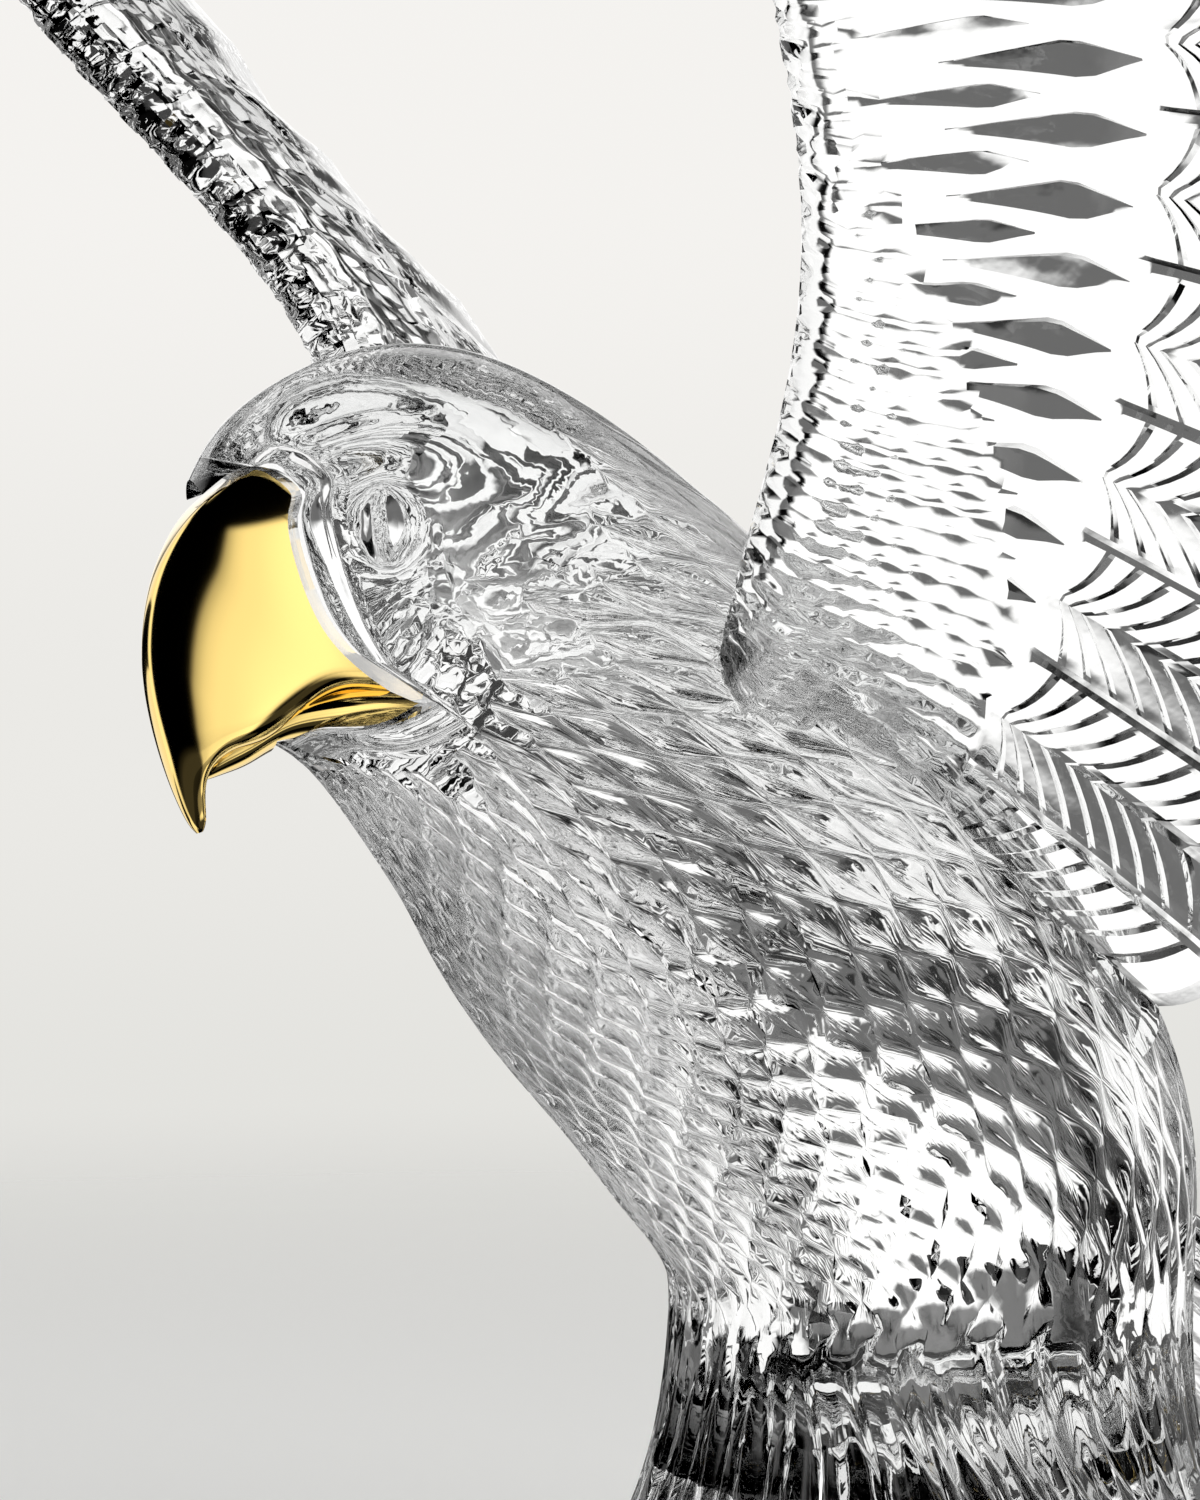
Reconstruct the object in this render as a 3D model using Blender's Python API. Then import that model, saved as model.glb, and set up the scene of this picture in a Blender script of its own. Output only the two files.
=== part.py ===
"""Cut-crystal eagle with raised wings and a gilt beak.

The bird faces -Y and its left is +X.  The origin is the centre of the foot's flat underside.
The crystal is one casting: head, body and fluted foot are one loft, and the wings and the
tail are melted into it.  The beak is one gilt casting that sits in a notch cut in the face.
Tables are in millimetres and every length passes through MM on its way into a mesh.
"""
import bmesh
import bpy
import numpy as np

MM = 0.001
GAP = 0.3                 # clearance between the gilt and the crystal

# Head, body and foot: each row is one section, from the face to the underside.
# back (y, z), breast (y, z), half width, share of the head's turn
SECTIONS = [
    (-131, 206, -118, 166, 14.5, 1.00),      # face
    (-124.5, 216, -114, 163.5, 20, 1.00),
    (-110, 225, -109, 158.5, 25.5, 1.00),
    (-94, 227.5, -102.5, 149.5, 28.5, 0.97),  # crown
    (-79, 223.5, -96, 139.5, 31, 0.90),
    (-62, 213.5, -90, 129, 34, 0.72),        # neck
    (-37, 195, -78.7, 115, 38.5, 0.42),
    (-5, 172, -63.2, 101, 42, 0.15),         # breast
    (27, 146, -48.7, 88, 45, 0.00),
    (49, 111, -39, 78, 44.5, 0.00),
    (51, 76, -37.5, 68, 43.5, 0.00),         # waist
    (53, 45, -42, 44, 47, 0.00),
    (63, 19, -55, 19, 58.5, 0.00),
    (71, 6, -66, 6, 68, 0.00),
    (72, 0, -68, 0, 69.5, 0.00),             # underside of the foot
]
WAIST = 10                # section where the feathers end and the flutes begin
RINGS = 37                # rings along the loft
COLUMNS = 64              # columns round it
FLUTES = 32
FLUTE_DEPTH = 1.4

HEAD_TURN = np.radians(25)    # the head looks to the bird's right
TURN_AXIS_Y = -70

# The face: a brow ridge, a hollow under it and an oval eye.  Places are (section, degrees
# round from the crown); reaches are the same two distances at which a swelling has faded.
BROW = dict(place=(1.9, 57), reach=(1.5, 8), height=1.3)
HOLLOW = dict(place=(2.5, 86), reach=(0.9, 20), height=-1.6)
EYE = dict(place=(2.3, 79), reach=(0.3, 8), height=1.6)

# The notch for the beak, seen from the side (y, z): under the brow, round the cheek to the
# corner of the mouth, and forward along the chin.
NOTCH = [
    (-150, 203.4), (-130.1, 203.4), (-128.2, 205.2), (-125.6, 207), (-122.6, 207.2),
    (-120.2, 205.9), (-117.7, 203.2), (-118.3, 199.3), (-116.8, 191.7), (-113.7, 184.2),
    (-109.4, 178.8), (-103.9, 174.7), (-98.4, 172.1), (-103.5, 169), (-108.5, 168.2),
    (-113, 168), (-116.2, 166.6),
]
CHIN_FRONT = (-150, 160)
UNDER_CHIN = [(-119, 166.3), (-119, 140)]
BEHIND_FACE = [(-60, 140), (-60, 230), (-150, 230)]
NOTCH_WIDTH = 70

# Beak sections: top (y, z), bottom (y, z), half width, how far the shelf shows
UPPER_BEAK = [
    (-106, 214, -88, 172.5, 17.0, 1.0),
    (-118.5, 209.5, -97.7, 171.2, 17.0, 1.0),
    (-128.6, 203.4, -107, 172.5, 16.1, 0.75),
    (-133.8, 197.2, -113.5, 170.5, 14.7, 0.35),
    (-136.8, 190.3, -118.6, 167, 13.3, 0.08),
    (-138.1, 182, -122.2, 165.4, 12.0, 0.0),
    (-137.7, 174, -125.6, 164.4, 10.5, 0.0),
    (-136.1, 166.5, -128.3, 162, 8.4, 0.0),
    (-133.8, 159.5, -129, 158.5, 5.6, 0.0),
    (-131.4, 154.3, -128.7, 154.6, 3.2, 0.0),
    (-129.8, 152.3, -129, 152.6, 1.2, 0.0),
]
LOWER_BEAK = [
    (-90, 176, -90, 166, 16.0, 0.0),
    (-98, 176.6, -97, 166.6, 16.5, 0.0),
    (-106, 177, -105.5, 166.2, 15.6, 0.0),
    (-112, 176, -112, 165.8, 14.2, 0.0),
    (-117.5, 174, -117.5, 165.2, 11.7, 0.0),
    (-122, 171, -122, 162.8, 8.4, 0.0),
    (-126, 168, -126, 161.2, 5.6, 0.0),
    (-129, 165, -128.9, 160.4, 2.8, 0.0),
    (-130, 163, -129.8, 161.4, 0.8, 0.0),
]
SHELF_DEPTH = 0.17        # share of the upper beak's depth above the shelf edge at its rear,
SHELF_WIDTH = 0.95        # share of its width there, and at the roof above the shelf
ROOF_WIDTH = 0.76
EDGE_SHARPNESS = 14
LIP_SQUARENESS = 24
BEAK_RINGS = 18
BEAK_COLUMNS = 18

# Leading edge of the left wing (x, y, z), from inside the shoulder to the tip, and at each
# point the feathers' rise in degrees, their outward turn, their length and the thickness.
WING = [
    (24, -60, 160, -37, 4, 98, 15.0),
    (42, -67, 186, -32, 11, 110, 14.5),
    (54, -68, 212, -26, 17, 116, 14.0),
    (61.5, -71, 235, -17, 22, 118, 13.5),
    (72, -83, 257, -6, 31, 119, 13.0),
    (83, -98, 277, 5, 41, 120, 12.5),
    (97, -110, 299, 15, 45, 118, 12.0),
    (110, -116, 328, 23, 44, 113, 11.0),
    (122, -118, 358, 31, 41, 103, 10.0),
    (133, -118, 388, 38, 37, 88, 8.5),
    (143, -116, 416, 44, 32, 66, 6.0),
]
WING_FEATHERS = 16
ROWS_PER_FEATHER = 3
WING_CAMBER = 5.0
WING_EDGE = 0.2           # thickness left at the trailing edge, as a share of the nose's
WING_THINNING = 5.0       # how fast the wing thins behind its rounded nose
FEATHER_RIDGE = 0.9       # height of each flight feather's middle over its sides
ROOT_NOTCH = 0.05         # depth of the gaps between feather ends, as a share of the length,
TIP_NOTCH = 0.30          # at the root and at the tip

# Tail: middle line (y, z), half width and thickness from the body to the feather ends
TAIL = [
    (8, 100, 26, 16),
    (40, 84, 30, 12),
    (72, 60, 36, 9),
    (98, 38, 41, 7),
    (116, 24, 43, 4.5),
]
TAIL_FEATHERS = 7
TAIL_NOTCH = 6.0
TAIL_RIDGE = 0.9

CRYSTAL_COLOUR = (0.93, 0.94, 0.94)
CRYSTAL_INDEX = 1.52
GILT_COLOUR = (0.83, 0.60, 0.20)


def curve_through(rows, at):
    """Natural cubic spline through the rows, which stand at 0, 1, 2 and so on."""
    rows = np.asarray(rows, float)
    last = len(rows) - 1
    system = np.eye(last + 1)
    bend = np.zeros_like(rows)
    for i in range(1, last):
        system[i, i - 1:i + 2] = 1, 4, 1
        bend[i] = 6 * (rows[i + 1] - 2 * rows[i] + rows[i - 1])
    bend = np.linalg.solve(system, bend)
    at = np.clip(np.asarray(at, float), 0, last)
    low = np.minimum(at.astype(int), last - 1)
    part = (at - low)[..., None]
    rest = 1 - part
    straight = rest * rows[low] + part * rows[low + 1]
    return straight + ((rest ** 3 - rest) * bend[low] + (part ** 3 - part) * bend[low + 1]) / 6


def turn_head(points, share):
    """Turn points about the upright neck axis by a share of the head's turn."""
    angle = -HEAD_TURN * share
    x, y, z = points[..., 0], points[..., 1] - TURN_AXIS_Y, points[..., 2]
    turned = [x * np.cos(angle) - y * np.sin(angle), x * np.sin(angle) + y * np.cos(angle)]
    return np.stack([turned[0], turned[1] + TURN_AXIS_Y, z], -1)


def swelling(section, degrees, place, reach, height):
    """A smooth mound or hollow on both cheeks, round its place."""
    along = (section - place[0]) / reach[0]
    across = (np.minimum(degrees, 360 - degrees) - place[1]) / reach[1]
    return height * np.exp(-(along ** 2 + across ** 2))


def make_object(name, vertices, faces, material=None):
    mesh = bpy.data.meshes.new(name)
    mesh.from_pydata((vertices * MM).tolist(), [], faces)
    work = bmesh.new()
    work.from_mesh(mesh)
    bmesh.ops.recalc_face_normals(work, faces=work.faces)
    work.to_mesh(mesh)
    work.free()
    mesh.shade_smooth()
    mesh.set_sharp_from_angle(angle=np.radians(35))
    body = bpy.data.objects.new(name, mesh)
    bpy.context.scene.collection.objects.link(body)
    if material:
        mesh.materials.append(material)
    return body


def make_loft(name, rings, material=None):
    """Skin closed rings, given as an array of (ring, column, xyz), and cap both ends."""
    count, columns = rings.shape[:2]
    index = np.arange(count * columns).reshape(count, columns)
    beside = np.roll(index, -1, axis=1)
    quads = np.stack([index[:-1], index[1:], beside[1:], beside[:-1]], -1).reshape(-1, 4)
    caps = [index[0].tolist(), index[-1][::-1].tolist()]
    return make_object(name, rings.reshape(-1, 3), quads.tolist() + caps, material)


def make_slab(name, outline):
    """A side-view outline (y, z) carried across the head and turned with it."""
    half = NOTCH_WIDTH / 2
    sides = [[(x, y, z) for y, z in outline] for x in (-half, half)]
    return make_loft(name, turn_head(np.array(sides, float), 1.0))


def join_to(target, tool, operation):
    """Melt a helper into the target or cut it away, and keep the helper as a guide."""
    step = target.modifiers.new(f"{operation.lower()} {tool.name}", "BOOLEAN")
    step.operation = operation
    step.object = tool
    tool.hide_render = True
    tool.display_type = "WIRE"


def make_body(material):
    """Sections are ellipses between the back line and the breast line, turned at the head."""
    section = np.linspace(0, len(SECTIONS) - 1, RINGS)[:, None]
    column = np.arange(COLUMNS)[None]
    around = 2 * np.pi * column / COLUMNS + 0 * section
    row = curve_through(SECTIONS, section + 0 * around)
    back, breast, half_width, share = row[..., 0:2], row[..., 2:4], row[..., 4], row[..., 5]
    middle, reach = (back + breast) / 2, (back - breast) / 2

    degrees = np.degrees(around)
    relief = sum(swelling(section, degrees, **mound) for mound in (BROW, HOLLOW, EYE))
    fluted = np.clip(section - WAIST, 0, 1)
    relief = relief + fluted * FLUTE_DEPTH / 2 * np.cos(FLUTES * around)

    size = np.linalg.norm(reach, axis=-1)
    lengthwise = reach * (1 + relief / size)[..., None] * np.cos(around)[..., None]
    side = (half_width + relief) * np.sin(around)
    points = np.concatenate([side[..., None], middle + lengthwise], -1)
    return make_loft("crystal_eagle", turn_head(points, np.clip(share, 0, 1)), material)


def wing_rings():
    """Each ring runs round one slice: out along the underside and back along the top."""
    rows = WING_FEATHERS * ROWS_PER_FEATHER
    along = np.arange(rows + 1)[:, None] / rows * (len(WING) - 1)
    feather = np.arange(rows + 1)[:, None] / ROWS_PER_FEATHER
    within = 2 * np.abs(feather - np.floor(feather) - 0.5)      # 1 in a gap, 0 in the middle

    half_loop = np.array([0, 0.012, 0.04, 0.11, 0.28, 0.48, 0.68, 0.86, 1.0])
    loop = np.concatenate([half_loop, half_loop[-2:0:-1]])[None]
    side = np.concatenate([np.ones(len(half_loop)), -np.ones(len(half_loop) - 2)])[None]

    row = curve_through(WING, along)
    edge, rise, outward = row[..., 0:3], np.radians(row[..., 3]), np.radians(row[..., 4])
    length, nose = row[..., 5], row[..., 6] / 2
    share = along / (len(WING) - 1)
    notch = (ROOT_NOTCH + (TIP_NOTCH - ROOT_NOTCH) * share ** 3) * within ** 3
    length = length * (1 - notch)

    chord = np.stack([np.cos(rise) * np.sin(outward), np.cos(rise) * np.cos(outward),
                      np.sin(rise)], -1)
    run = np.gradient(edge[:, 0], axis=0)[:, None]
    normal = np.cross(chord, run)
    normal /= np.linalg.norm(normal, axis=-1, keepdims=True)

    reach = loop * length
    behind = np.clip((reach - nose) / (length - nose), 0, 1)
    rounded = np.sqrt(np.clip(1 - (1 - np.clip(reach / nose, 0, 1)) ** 2, 0, 1))
    thinning = WING_EDGE + (1 - WING_EDGE) * np.exp(-behind * WING_THINNING)
    half = nose * rounded * thinning
    half = half + FEATHER_RIDGE * (0.5 - within) * np.clip(3 * (loop - 0.35), 0, 1)
    half = np.where((loop == 0) | (loop == 1), 0, half)
    camber = -WING_CAMBER * np.sin(np.pi * loop)
    return edge + chord * (reach - nose)[..., None] + normal * (camber + side * half)[..., None]


def make_wing(name, rings, mirror):
    return make_loft(name, rings * (mirror, 1, 1))


def make_tail():
    """A fan of feathers, ridged along each one and notched between their ends."""
    per_feather = 3
    across = np.linspace(-1, 1, TAIL_FEATHERS * per_feather + 1)
    feather = (across + 1) / 2 * TAIL_FEATHERS
    within = 2 * np.abs(feather - np.floor(feather) - 0.5)
    across = np.concatenate([across, across[::-1]])[None]
    within = np.concatenate([within, within[::-1]])[None]
    face = np.where(np.arange(across.size) < across.size / 2, 1, -1)[None]

    steps = 9
    along = np.linspace(0, len(TAIL) - 1, steps)[:, None]
    share = along / (len(TAIL) - 1)
    row = curve_through(TAIL, along)
    middle, half_width, thickness = row[..., 0:2], row[..., 2], row[..., 3]
    run = np.gradient(middle[:, 0], axis=0)[:, None]
    run /= np.linalg.norm(run, axis=-1, keepdims=True)
    upward = np.stack([-run[..., 1], run[..., 0]], -1)

    edge_round = np.sqrt(np.clip(1 - across ** 6, 0.04, 1))
    half = face * (thickness / 2 * edge_round + TAIL_RIDGE * share * (0.5 - within) * edge_round)
    pull = (TAIL_NOTCH * within ** 3 + 10 * across ** 2) * share ** 4
    side_view = middle + upward * half[..., None] - run * pull[..., None]
    side = half_width * across + 0 * share
    return make_loft("tail", np.concatenate([side[..., None], side_view], -1))


def beak_rings(sections, rounded):
    """Half sections swell from the top like a quarter ellipse and end in a crisp lower edge; at
    the rear they have a slanted shelf under a flat roof.  Rounded sections are whole ellipses."""
    along = np.linspace(0, len(sections) - 1, BEAK_RINGS)[:, None]
    around = 2 * np.pi * np.arange(BEAK_COLUMNS)[None] / BEAK_COLUMNS
    row = curve_through(sections, along + 0 * around)
    top, bottom, half_width, shelved = row[..., 0:2], row[..., 2:4], row[..., 4], row[..., 5]
    depth = (1 - np.cos(around)) / 2
    roof = 14 * np.sqrt(np.maximum(depth, 1e-6))
    slant = ROOF_WIDTH + (SHELF_WIDTH - ROOF_WIDTH) * depth / SHELF_DEPTH
    wall = SHELF_WIDTH + (1 - SHELF_WIDTH) * (depth - SHELF_DEPTH) / (1 - SHELF_DEPTH)
    least = sum(limit ** -EDGE_SHARPNESS for limit in (roof, slant, wall))
    shelf = least ** (-1 / EDGE_SHARPNESS)
    ellipse = np.sqrt(1 - (1 - depth) ** 2)
    side = ellipse + np.clip(shelved, 0, 1) * (shelf - ellipse)
    side = side * np.sqrt(1 - depth ** LIP_SQUARENESS)
    if rounded:
        side = np.abs(np.sin(around)) + 0 * side
    side = side * np.sign(np.sin(around).round(6))
    side_view = top + (bottom - top) * depth[..., None]
    points = np.concatenate([(half_width * side)[..., None], side_view], -1)
    return turn_head(points, 1.0)


def make_beak(material):
    """The two mandibles are one casting, trimmed to the notch less the clearance."""
    beak = make_loft("gilt_beak", beak_rings(UPPER_BEAK, False), material)
    lower = make_loft("lower_mandible", beak_rings(LOWER_BEAK, True))
    join_to(beak, lower, "UNION")
    notch = np.array(NOTCH, float)
    run = np.gradient(notch, axis=0)
    run /= np.linalg.norm(run, axis=1, keepdims=True)
    inward = notch + GAP * np.stack([run[:, 1], -run[:, 0]], -1)
    behind = make_slab("face_guide", inward.tolist() + UNDER_CHIN + BEHIND_FACE)
    join_to(beak, behind, "DIFFERENCE")
    return beak


def make_material(name, colour, roughness, metallic, index=1.5, transmission=0.0):
    material = bpy.data.materials.new(name)
    material.use_nodes = True
    shader = material.node_tree.nodes["Principled BSDF"]
    shader.inputs["Base Color"].default_value = (*colour, 1)
    shader.inputs["Roughness"].default_value = roughness
    shader.inputs["Metallic"].default_value = metallic
    shader.inputs["IOR"].default_value = index
    shader.inputs["Transmission Weight"].default_value = transmission
    material.diffuse_color = (*colour, 1)
    return material


def main():
    for old in list(bpy.data.objects):
        bpy.data.objects.remove(old)

    crystal = make_material("crystal", CRYSTAL_COLOUR, 0.02, 0.0, CRYSTAL_INDEX, 1.0)
    gilt = make_material("gilt", GILT_COLOUR, 0.12, 1.0)

    eagle = make_body(crystal)
    wing = wing_rings()
    join_to(eagle, make_wing("wing_left", wing, 1), "UNION")
    join_to(eagle, make_wing("wing_right", wing, -1), "UNION")
    join_to(eagle, make_tail(), "UNION")
    join_to(eagle, make_slab("beak_notch", NOTCH + [CHIN_FRONT]), "DIFFERENCE")
    make_beak(gilt)


main()
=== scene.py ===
"""Cut-crystal eagle with raised wings and a gilt beak: its visible surfaces, finishes and stage.

Tables and lengths are in millimetres; every length passes through MM on its way into a mesh.
"""

import bmesh
import bpy
import numpy as np
from bpy.props import FloatProperty, FloatVectorProperty, IntProperty, PointerProperty
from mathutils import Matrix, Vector


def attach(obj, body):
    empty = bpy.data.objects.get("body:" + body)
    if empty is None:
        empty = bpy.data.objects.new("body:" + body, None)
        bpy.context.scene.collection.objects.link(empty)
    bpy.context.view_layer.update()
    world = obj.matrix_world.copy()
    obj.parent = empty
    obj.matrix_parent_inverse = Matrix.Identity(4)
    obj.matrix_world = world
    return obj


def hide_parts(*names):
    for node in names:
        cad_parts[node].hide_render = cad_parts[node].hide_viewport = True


bl_info = {
    "name": "Cut-crystal eagle",
    "version": (1, 0, 0),
    "blender": (4, 5, 0),
    "location": "View3D > Sidebar > Eagle",
    "description": "Clear crystal eagle with cut feathers, a gilt beak and a pale studio",
    "category": "Add Mesh",
}

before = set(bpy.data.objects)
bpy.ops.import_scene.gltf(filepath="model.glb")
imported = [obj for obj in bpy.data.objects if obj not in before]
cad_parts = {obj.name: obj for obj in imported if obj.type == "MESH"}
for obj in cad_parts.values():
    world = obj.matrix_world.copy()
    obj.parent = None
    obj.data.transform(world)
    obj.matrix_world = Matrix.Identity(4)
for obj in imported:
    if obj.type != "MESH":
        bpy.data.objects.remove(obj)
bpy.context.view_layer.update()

MM = 0.001
TINY = 1e-9
HEAD_TURN = np.radians(25)
TURN_AXIS_Y = -70

# Head, body and foot, from the face to the underside:
# back (y, z), breast (y, z), half width, share of the head's turn
SECTIONS = [
    (-131, 206, -118, 166, 14.5, 1.00),
    (-124.5, 216, -114, 163.5, 20, 1.00),
    (-110, 225, -109, 158.5, 25.5, 1.00),
    (-94, 227.5, -102.5, 149.5, 28.5, 0.97),
    (-79, 223.5, -96, 139.5, 31, 0.90),
    (-62, 213.5, -90, 129, 34, 0.72),
    (-37, 195, -78.7, 115, 38.5, 0.42),
    (-5, 172, -63.2, 101, 42, 0.15),
    (27, 146, -48.7, 88, 45, 0.00),
    (49, 111, -39, 78, 44.5, 0.00),
    (51, 76, -37.5, 68, 43.5, 0.00),
    (53, 45, -42, 44, 47, 0.00),
    (63, 19, -55, 19, 58.5, 0.00),
    (71, 6, -66, 6, 68, 0.00),
    (72, 0, -68, 0, 69.5, 0.00),
]
WAIST = 10                 # section where the ovals end and the foot begins

# Swellings of the face: place and reach as (section, degrees round from the crown), height
BROW = ((1.9, 57), (1.5, 8), 1.3)
HOLLOW = ((2.5, 86), (0.9, 20), -1.6)
EYE = ((2.3, 79), (0.3, 8), 1.6)

STEP = 0.01                # of a section and of a radian, to take the body's slope over

# The notch for the beak, seen from the side (y, z), and how far forward it is open
NOTCH = [
    (-150, 203.4), (-130.1, 203.4), (-128.2, 205.2), (-125.6, 207), (-122.6, 207.2),
    (-120.2, 205.9), (-117.7, 203.2), (-118.3, 199.3), (-116.8, 191.7), (-113.7, 184.2),
    (-109.4, 178.8), (-103.9, 174.7), (-98.4, 172.1), (-103.5, 169), (-108.5, 168.2),
    (-113, 168), (-116.2, 166.6),
]
MOUTH_CORNER = 12
NOTCH_STEPS = 6            # points to a span of the notch's curves
CHIN_FRONT = (-150, 160)
UNDER_CHIN = [(-119, 166.3), (-119, 140)]
BEHIND_FACE = [(-60, 140), (-60, 230), (-150, 230)]
NOTCH_WIDTH = 70
RIM_TRIALS = np.linspace(0, 3.5, 1401)      # sections at which the rim is looked for
GAP = 0.3

# Beak sections: top (y, z), bottom (y, z), half width, how far the shelf shows
UPPER_BEAK = [
    (-106, 214, -88, 172.5, 17.0, 1.0),
    (-118.5, 209.5, -97.7, 171.2, 17.0, 1.0),
    (-128.6, 203.4, -107, 172.5, 16.1, 0.75),
    (-133.8, 197.2, -113.5, 170.5, 14.7, 0.35),
    (-136.8, 190.3, -118.6, 167, 13.3, 0.08),
    (-138.1, 182, -122.2, 165.4, 12.0, 0.0),
    (-137.7, 174, -125.6, 164.4, 10.5, 0.0),
    (-136.1, 166.5, -128.3, 162, 8.4, 0.0),
    (-133.8, 159.5, -129, 158.5, 5.6, 0.0),
    (-131.4, 154.3, -128.7, 154.6, 3.2, 0.0),
    (-129.8, 152.3, -129, 152.6, 1.2, 0.0),
]
LOWER_BEAK = [
    (-90, 176, -90, 166, 16.0, 0.0),
    (-98, 176.6, -97, 166.6, 16.5, 0.0),
    (-106, 177, -105.5, 166.2, 15.6, 0.0),
    (-112, 176, -112, 165.8, 14.2, 0.0),
    (-117.5, 174, -117.5, 165.2, 11.7, 0.0),
    (-122, 171, -122, 162.8, 8.4, 0.0),
    (-126, 168, -126, 161.2, 5.6, 0.0),
    (-129, 165, -128.9, 160.4, 2.8, 0.0),
    (-130, 163, -129.8, 161.4, 0.8, 0.0),
]
SHELF_DEPTH = 0.17        # share of the upper beak's depth above the shelf edge at its rear,
SHELF_WIDTH = 0.95        # share of its width there, and at the roof above the shelf
ROOF_WIDTH = 0.76
EDGE_SHARPNESS = 14
LIP_SQUARENESS = 24

# Left wing: leading edge (x, y, z), feathers' rise and outward turn, length, thickness
WING = [
    (24, -60, 160, -37, 4, 98, 15.0),
    (42, -67, 186, -32, 11, 110, 14.5),
    (54, -68, 212, -26, 17, 116, 14.0),
    (61.5, -71, 235, -17, 22, 118, 13.5),
    (72, -83, 257, -6, 31, 119, 13.0),
    (83, -98, 277, 5, 41, 120, 12.5),
    (97, -110, 299, 15, 45, 118, 12.0),
    (110, -116, 328, 23, 44, 113, 11.0),
    (122, -118, 358, 31, 41, 103, 10.0),
    (133, -118, 388, 38, 37, 88, 8.5),
    (143, -116, 416, 44, 32, 66, 6.0),
]
WING_STEP = 0.02           # of a row, to take the leading edge's run over
WING_FEATHERS = 16
WING_CAMBER = 5.0
WING_EDGE = 0.2
WING_THINNING = 5.0
FEATHER_RIDGE = 0.9
RIDGES_BEGIN = 0.35        # share of the wing's length
ROOT_NOTCH = 0.05
TIP_NOTCH = 0.30
TIP_CLOSING, TIP_LEFT = 1.6, 0.2            # how fast the last feather thins, and what is left

# Tail: middle line (y, z), half width and thickness
TAIL = [
    (8, 100, 26, 16),
    (40, 84, 30, 12),
    (72, 60, 36, 9),
    (98, 38, 41, 7),
    (116, 24, 43, 4.5),
]
TAIL_FEATHERS = 7
TAIL_NOTCH = 6.0
TAIL_RIDGE = 0.9
TAIL_ROUNDING = 10
TAIL_EDGE = 0.2            # share of the thickness left at the fan's sides
TAIL_SQUARENESS = 6
TAIL_THREADS, TAIL_RINGS = 8, 23            # grid lines to a feather and along the tail


def ease(value):
    """Rises smoothly from 0 to 1 as the value does: 3v^2 - 2v^3."""
    value = np.clip(value, 0, 1)
    return value * value * (3 - 2 * value)


def fade_between(value, span):
    """1 within a span of begin, length of the rise, end and length of the fall, 0 outside."""
    begin, rising, end, falling = span
    return ease((value - begin) / rising) * ease((end - value) / falling)


def curve_through(rows, at):
    """Natural cubic spline through the rows, which stand at 0, 1, 2 and so on."""
    rows = np.asarray(rows, float)
    last = len(rows) - 1
    inner = np.arange(1, last)
    system = np.eye(last + 1)
    system[inner, inner] = 4
    system[inner, inner - 1] = system[inner, inner + 1] = 1
    bend = np.zeros_like(rows)
    bend[inner] = 6 * (rows[inner + 1] - 2 * rows[inner] + rows[inner - 1])
    bend = np.linalg.solve(system, bend)
    at = np.clip(np.asarray(at, float), 0, last)
    low = np.minimum(at.astype(int), last - 1)
    part = (at - low)[..., None]
    rest = 1 - part
    straight = rest * rows[low] + part * rows[low + 1]
    return straight + ((rest ** 3 - rest) * bend[low] + (part ** 3 - part) * bend[low + 1]) / 6


def turn_head(points, share):
    """Turns points about the upright neck axis by a share of the head's turn."""
    angle = -HEAD_TURN * share
    x, y, z = points[..., 0], points[..., 1] - TURN_AXIS_Y, points[..., 2]
    turned = [x * np.cos(angle) - y * np.sin(angle), x * np.sin(angle) + y * np.cos(angle)]
    return np.stack([turned[0], turned[1] + TURN_AXIS_Y, z], -1)


def unit(vectors):
    """Each vector divided by its length."""
    return vectors / np.maximum(np.linalg.norm(vectors, axis=-1, keepdims=True), TINY)


def from_crown(around):
    """Degrees round from the crown, 0 to 180, the same on both sides."""
    degrees = np.degrees(around) % 360
    return np.minimum(degrees, 360 - degrees)


# ---------------------------- body

def body_side_view(section, around):
    """Unturned ellipse of a section: middle + reach cos(a) lengthwise, half width sin(a) aside.

    Swellings of the face raise it by height x e^-(square of the distance in reaches)."""
    row = curve_through(SECTIONS, section + 0 * around)
    back, breast, half_width, share = row[..., 0:2], row[..., 2:4], row[..., 4], row[..., 5]
    middle, reach = (back + breast) / 2, (back - breast) / 2
    degrees = from_crown(around)
    relief = 0
    for place, spread, height in (BROW, HOLLOW, EYE):
        distance = ((section - place[0]) / spread[0]) ** 2 + ((degrees - place[1]) / spread[1]) ** 2
        relief = relief + height * np.exp(-distance)
    size = np.linalg.norm(reach, axis=-1)
    lengthwise = reach * (1 + relief / size)[..., None] * np.cos(around)[..., None]
    side = (half_width + relief) * np.sin(around)
    return np.concatenate([side[..., None], middle + lengthwise], -1), np.clip(share, 0, 1)


def body_surface(section, around):
    """The side view's ellipses, turned with the head."""
    return turn_head(*body_side_view(section, around))


def body_outward(section, around):
    """Unit normals: the cross product of the surface's steps round and along the body."""
    section = np.clip(section, STEP, len(SECTIONS) - 1 - STEP)
    step_round = body_surface(section, around + STEP) - body_surface(section, around - STEP)
    step_along = body_surface(section + STEP, around) - body_surface(section - STEP, around)
    return unit(np.cross(step_round, step_along))


def notch_line():
    """The notch's outline as two smooth curves that meet in the corner of the mouth."""
    notch = np.array(NOTCH, float)
    curves = [curve_through(rows, np.linspace(0, len(rows) - 1, NOTCH_STEPS * (len(rows) - 1) + 1))
              for rows in (notch[1:MOUTH_CORNER + 1], notch[MOUTH_CORNER:])]
    return np.concatenate([notch[:1], curves[0], curves[1][1:]])


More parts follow.
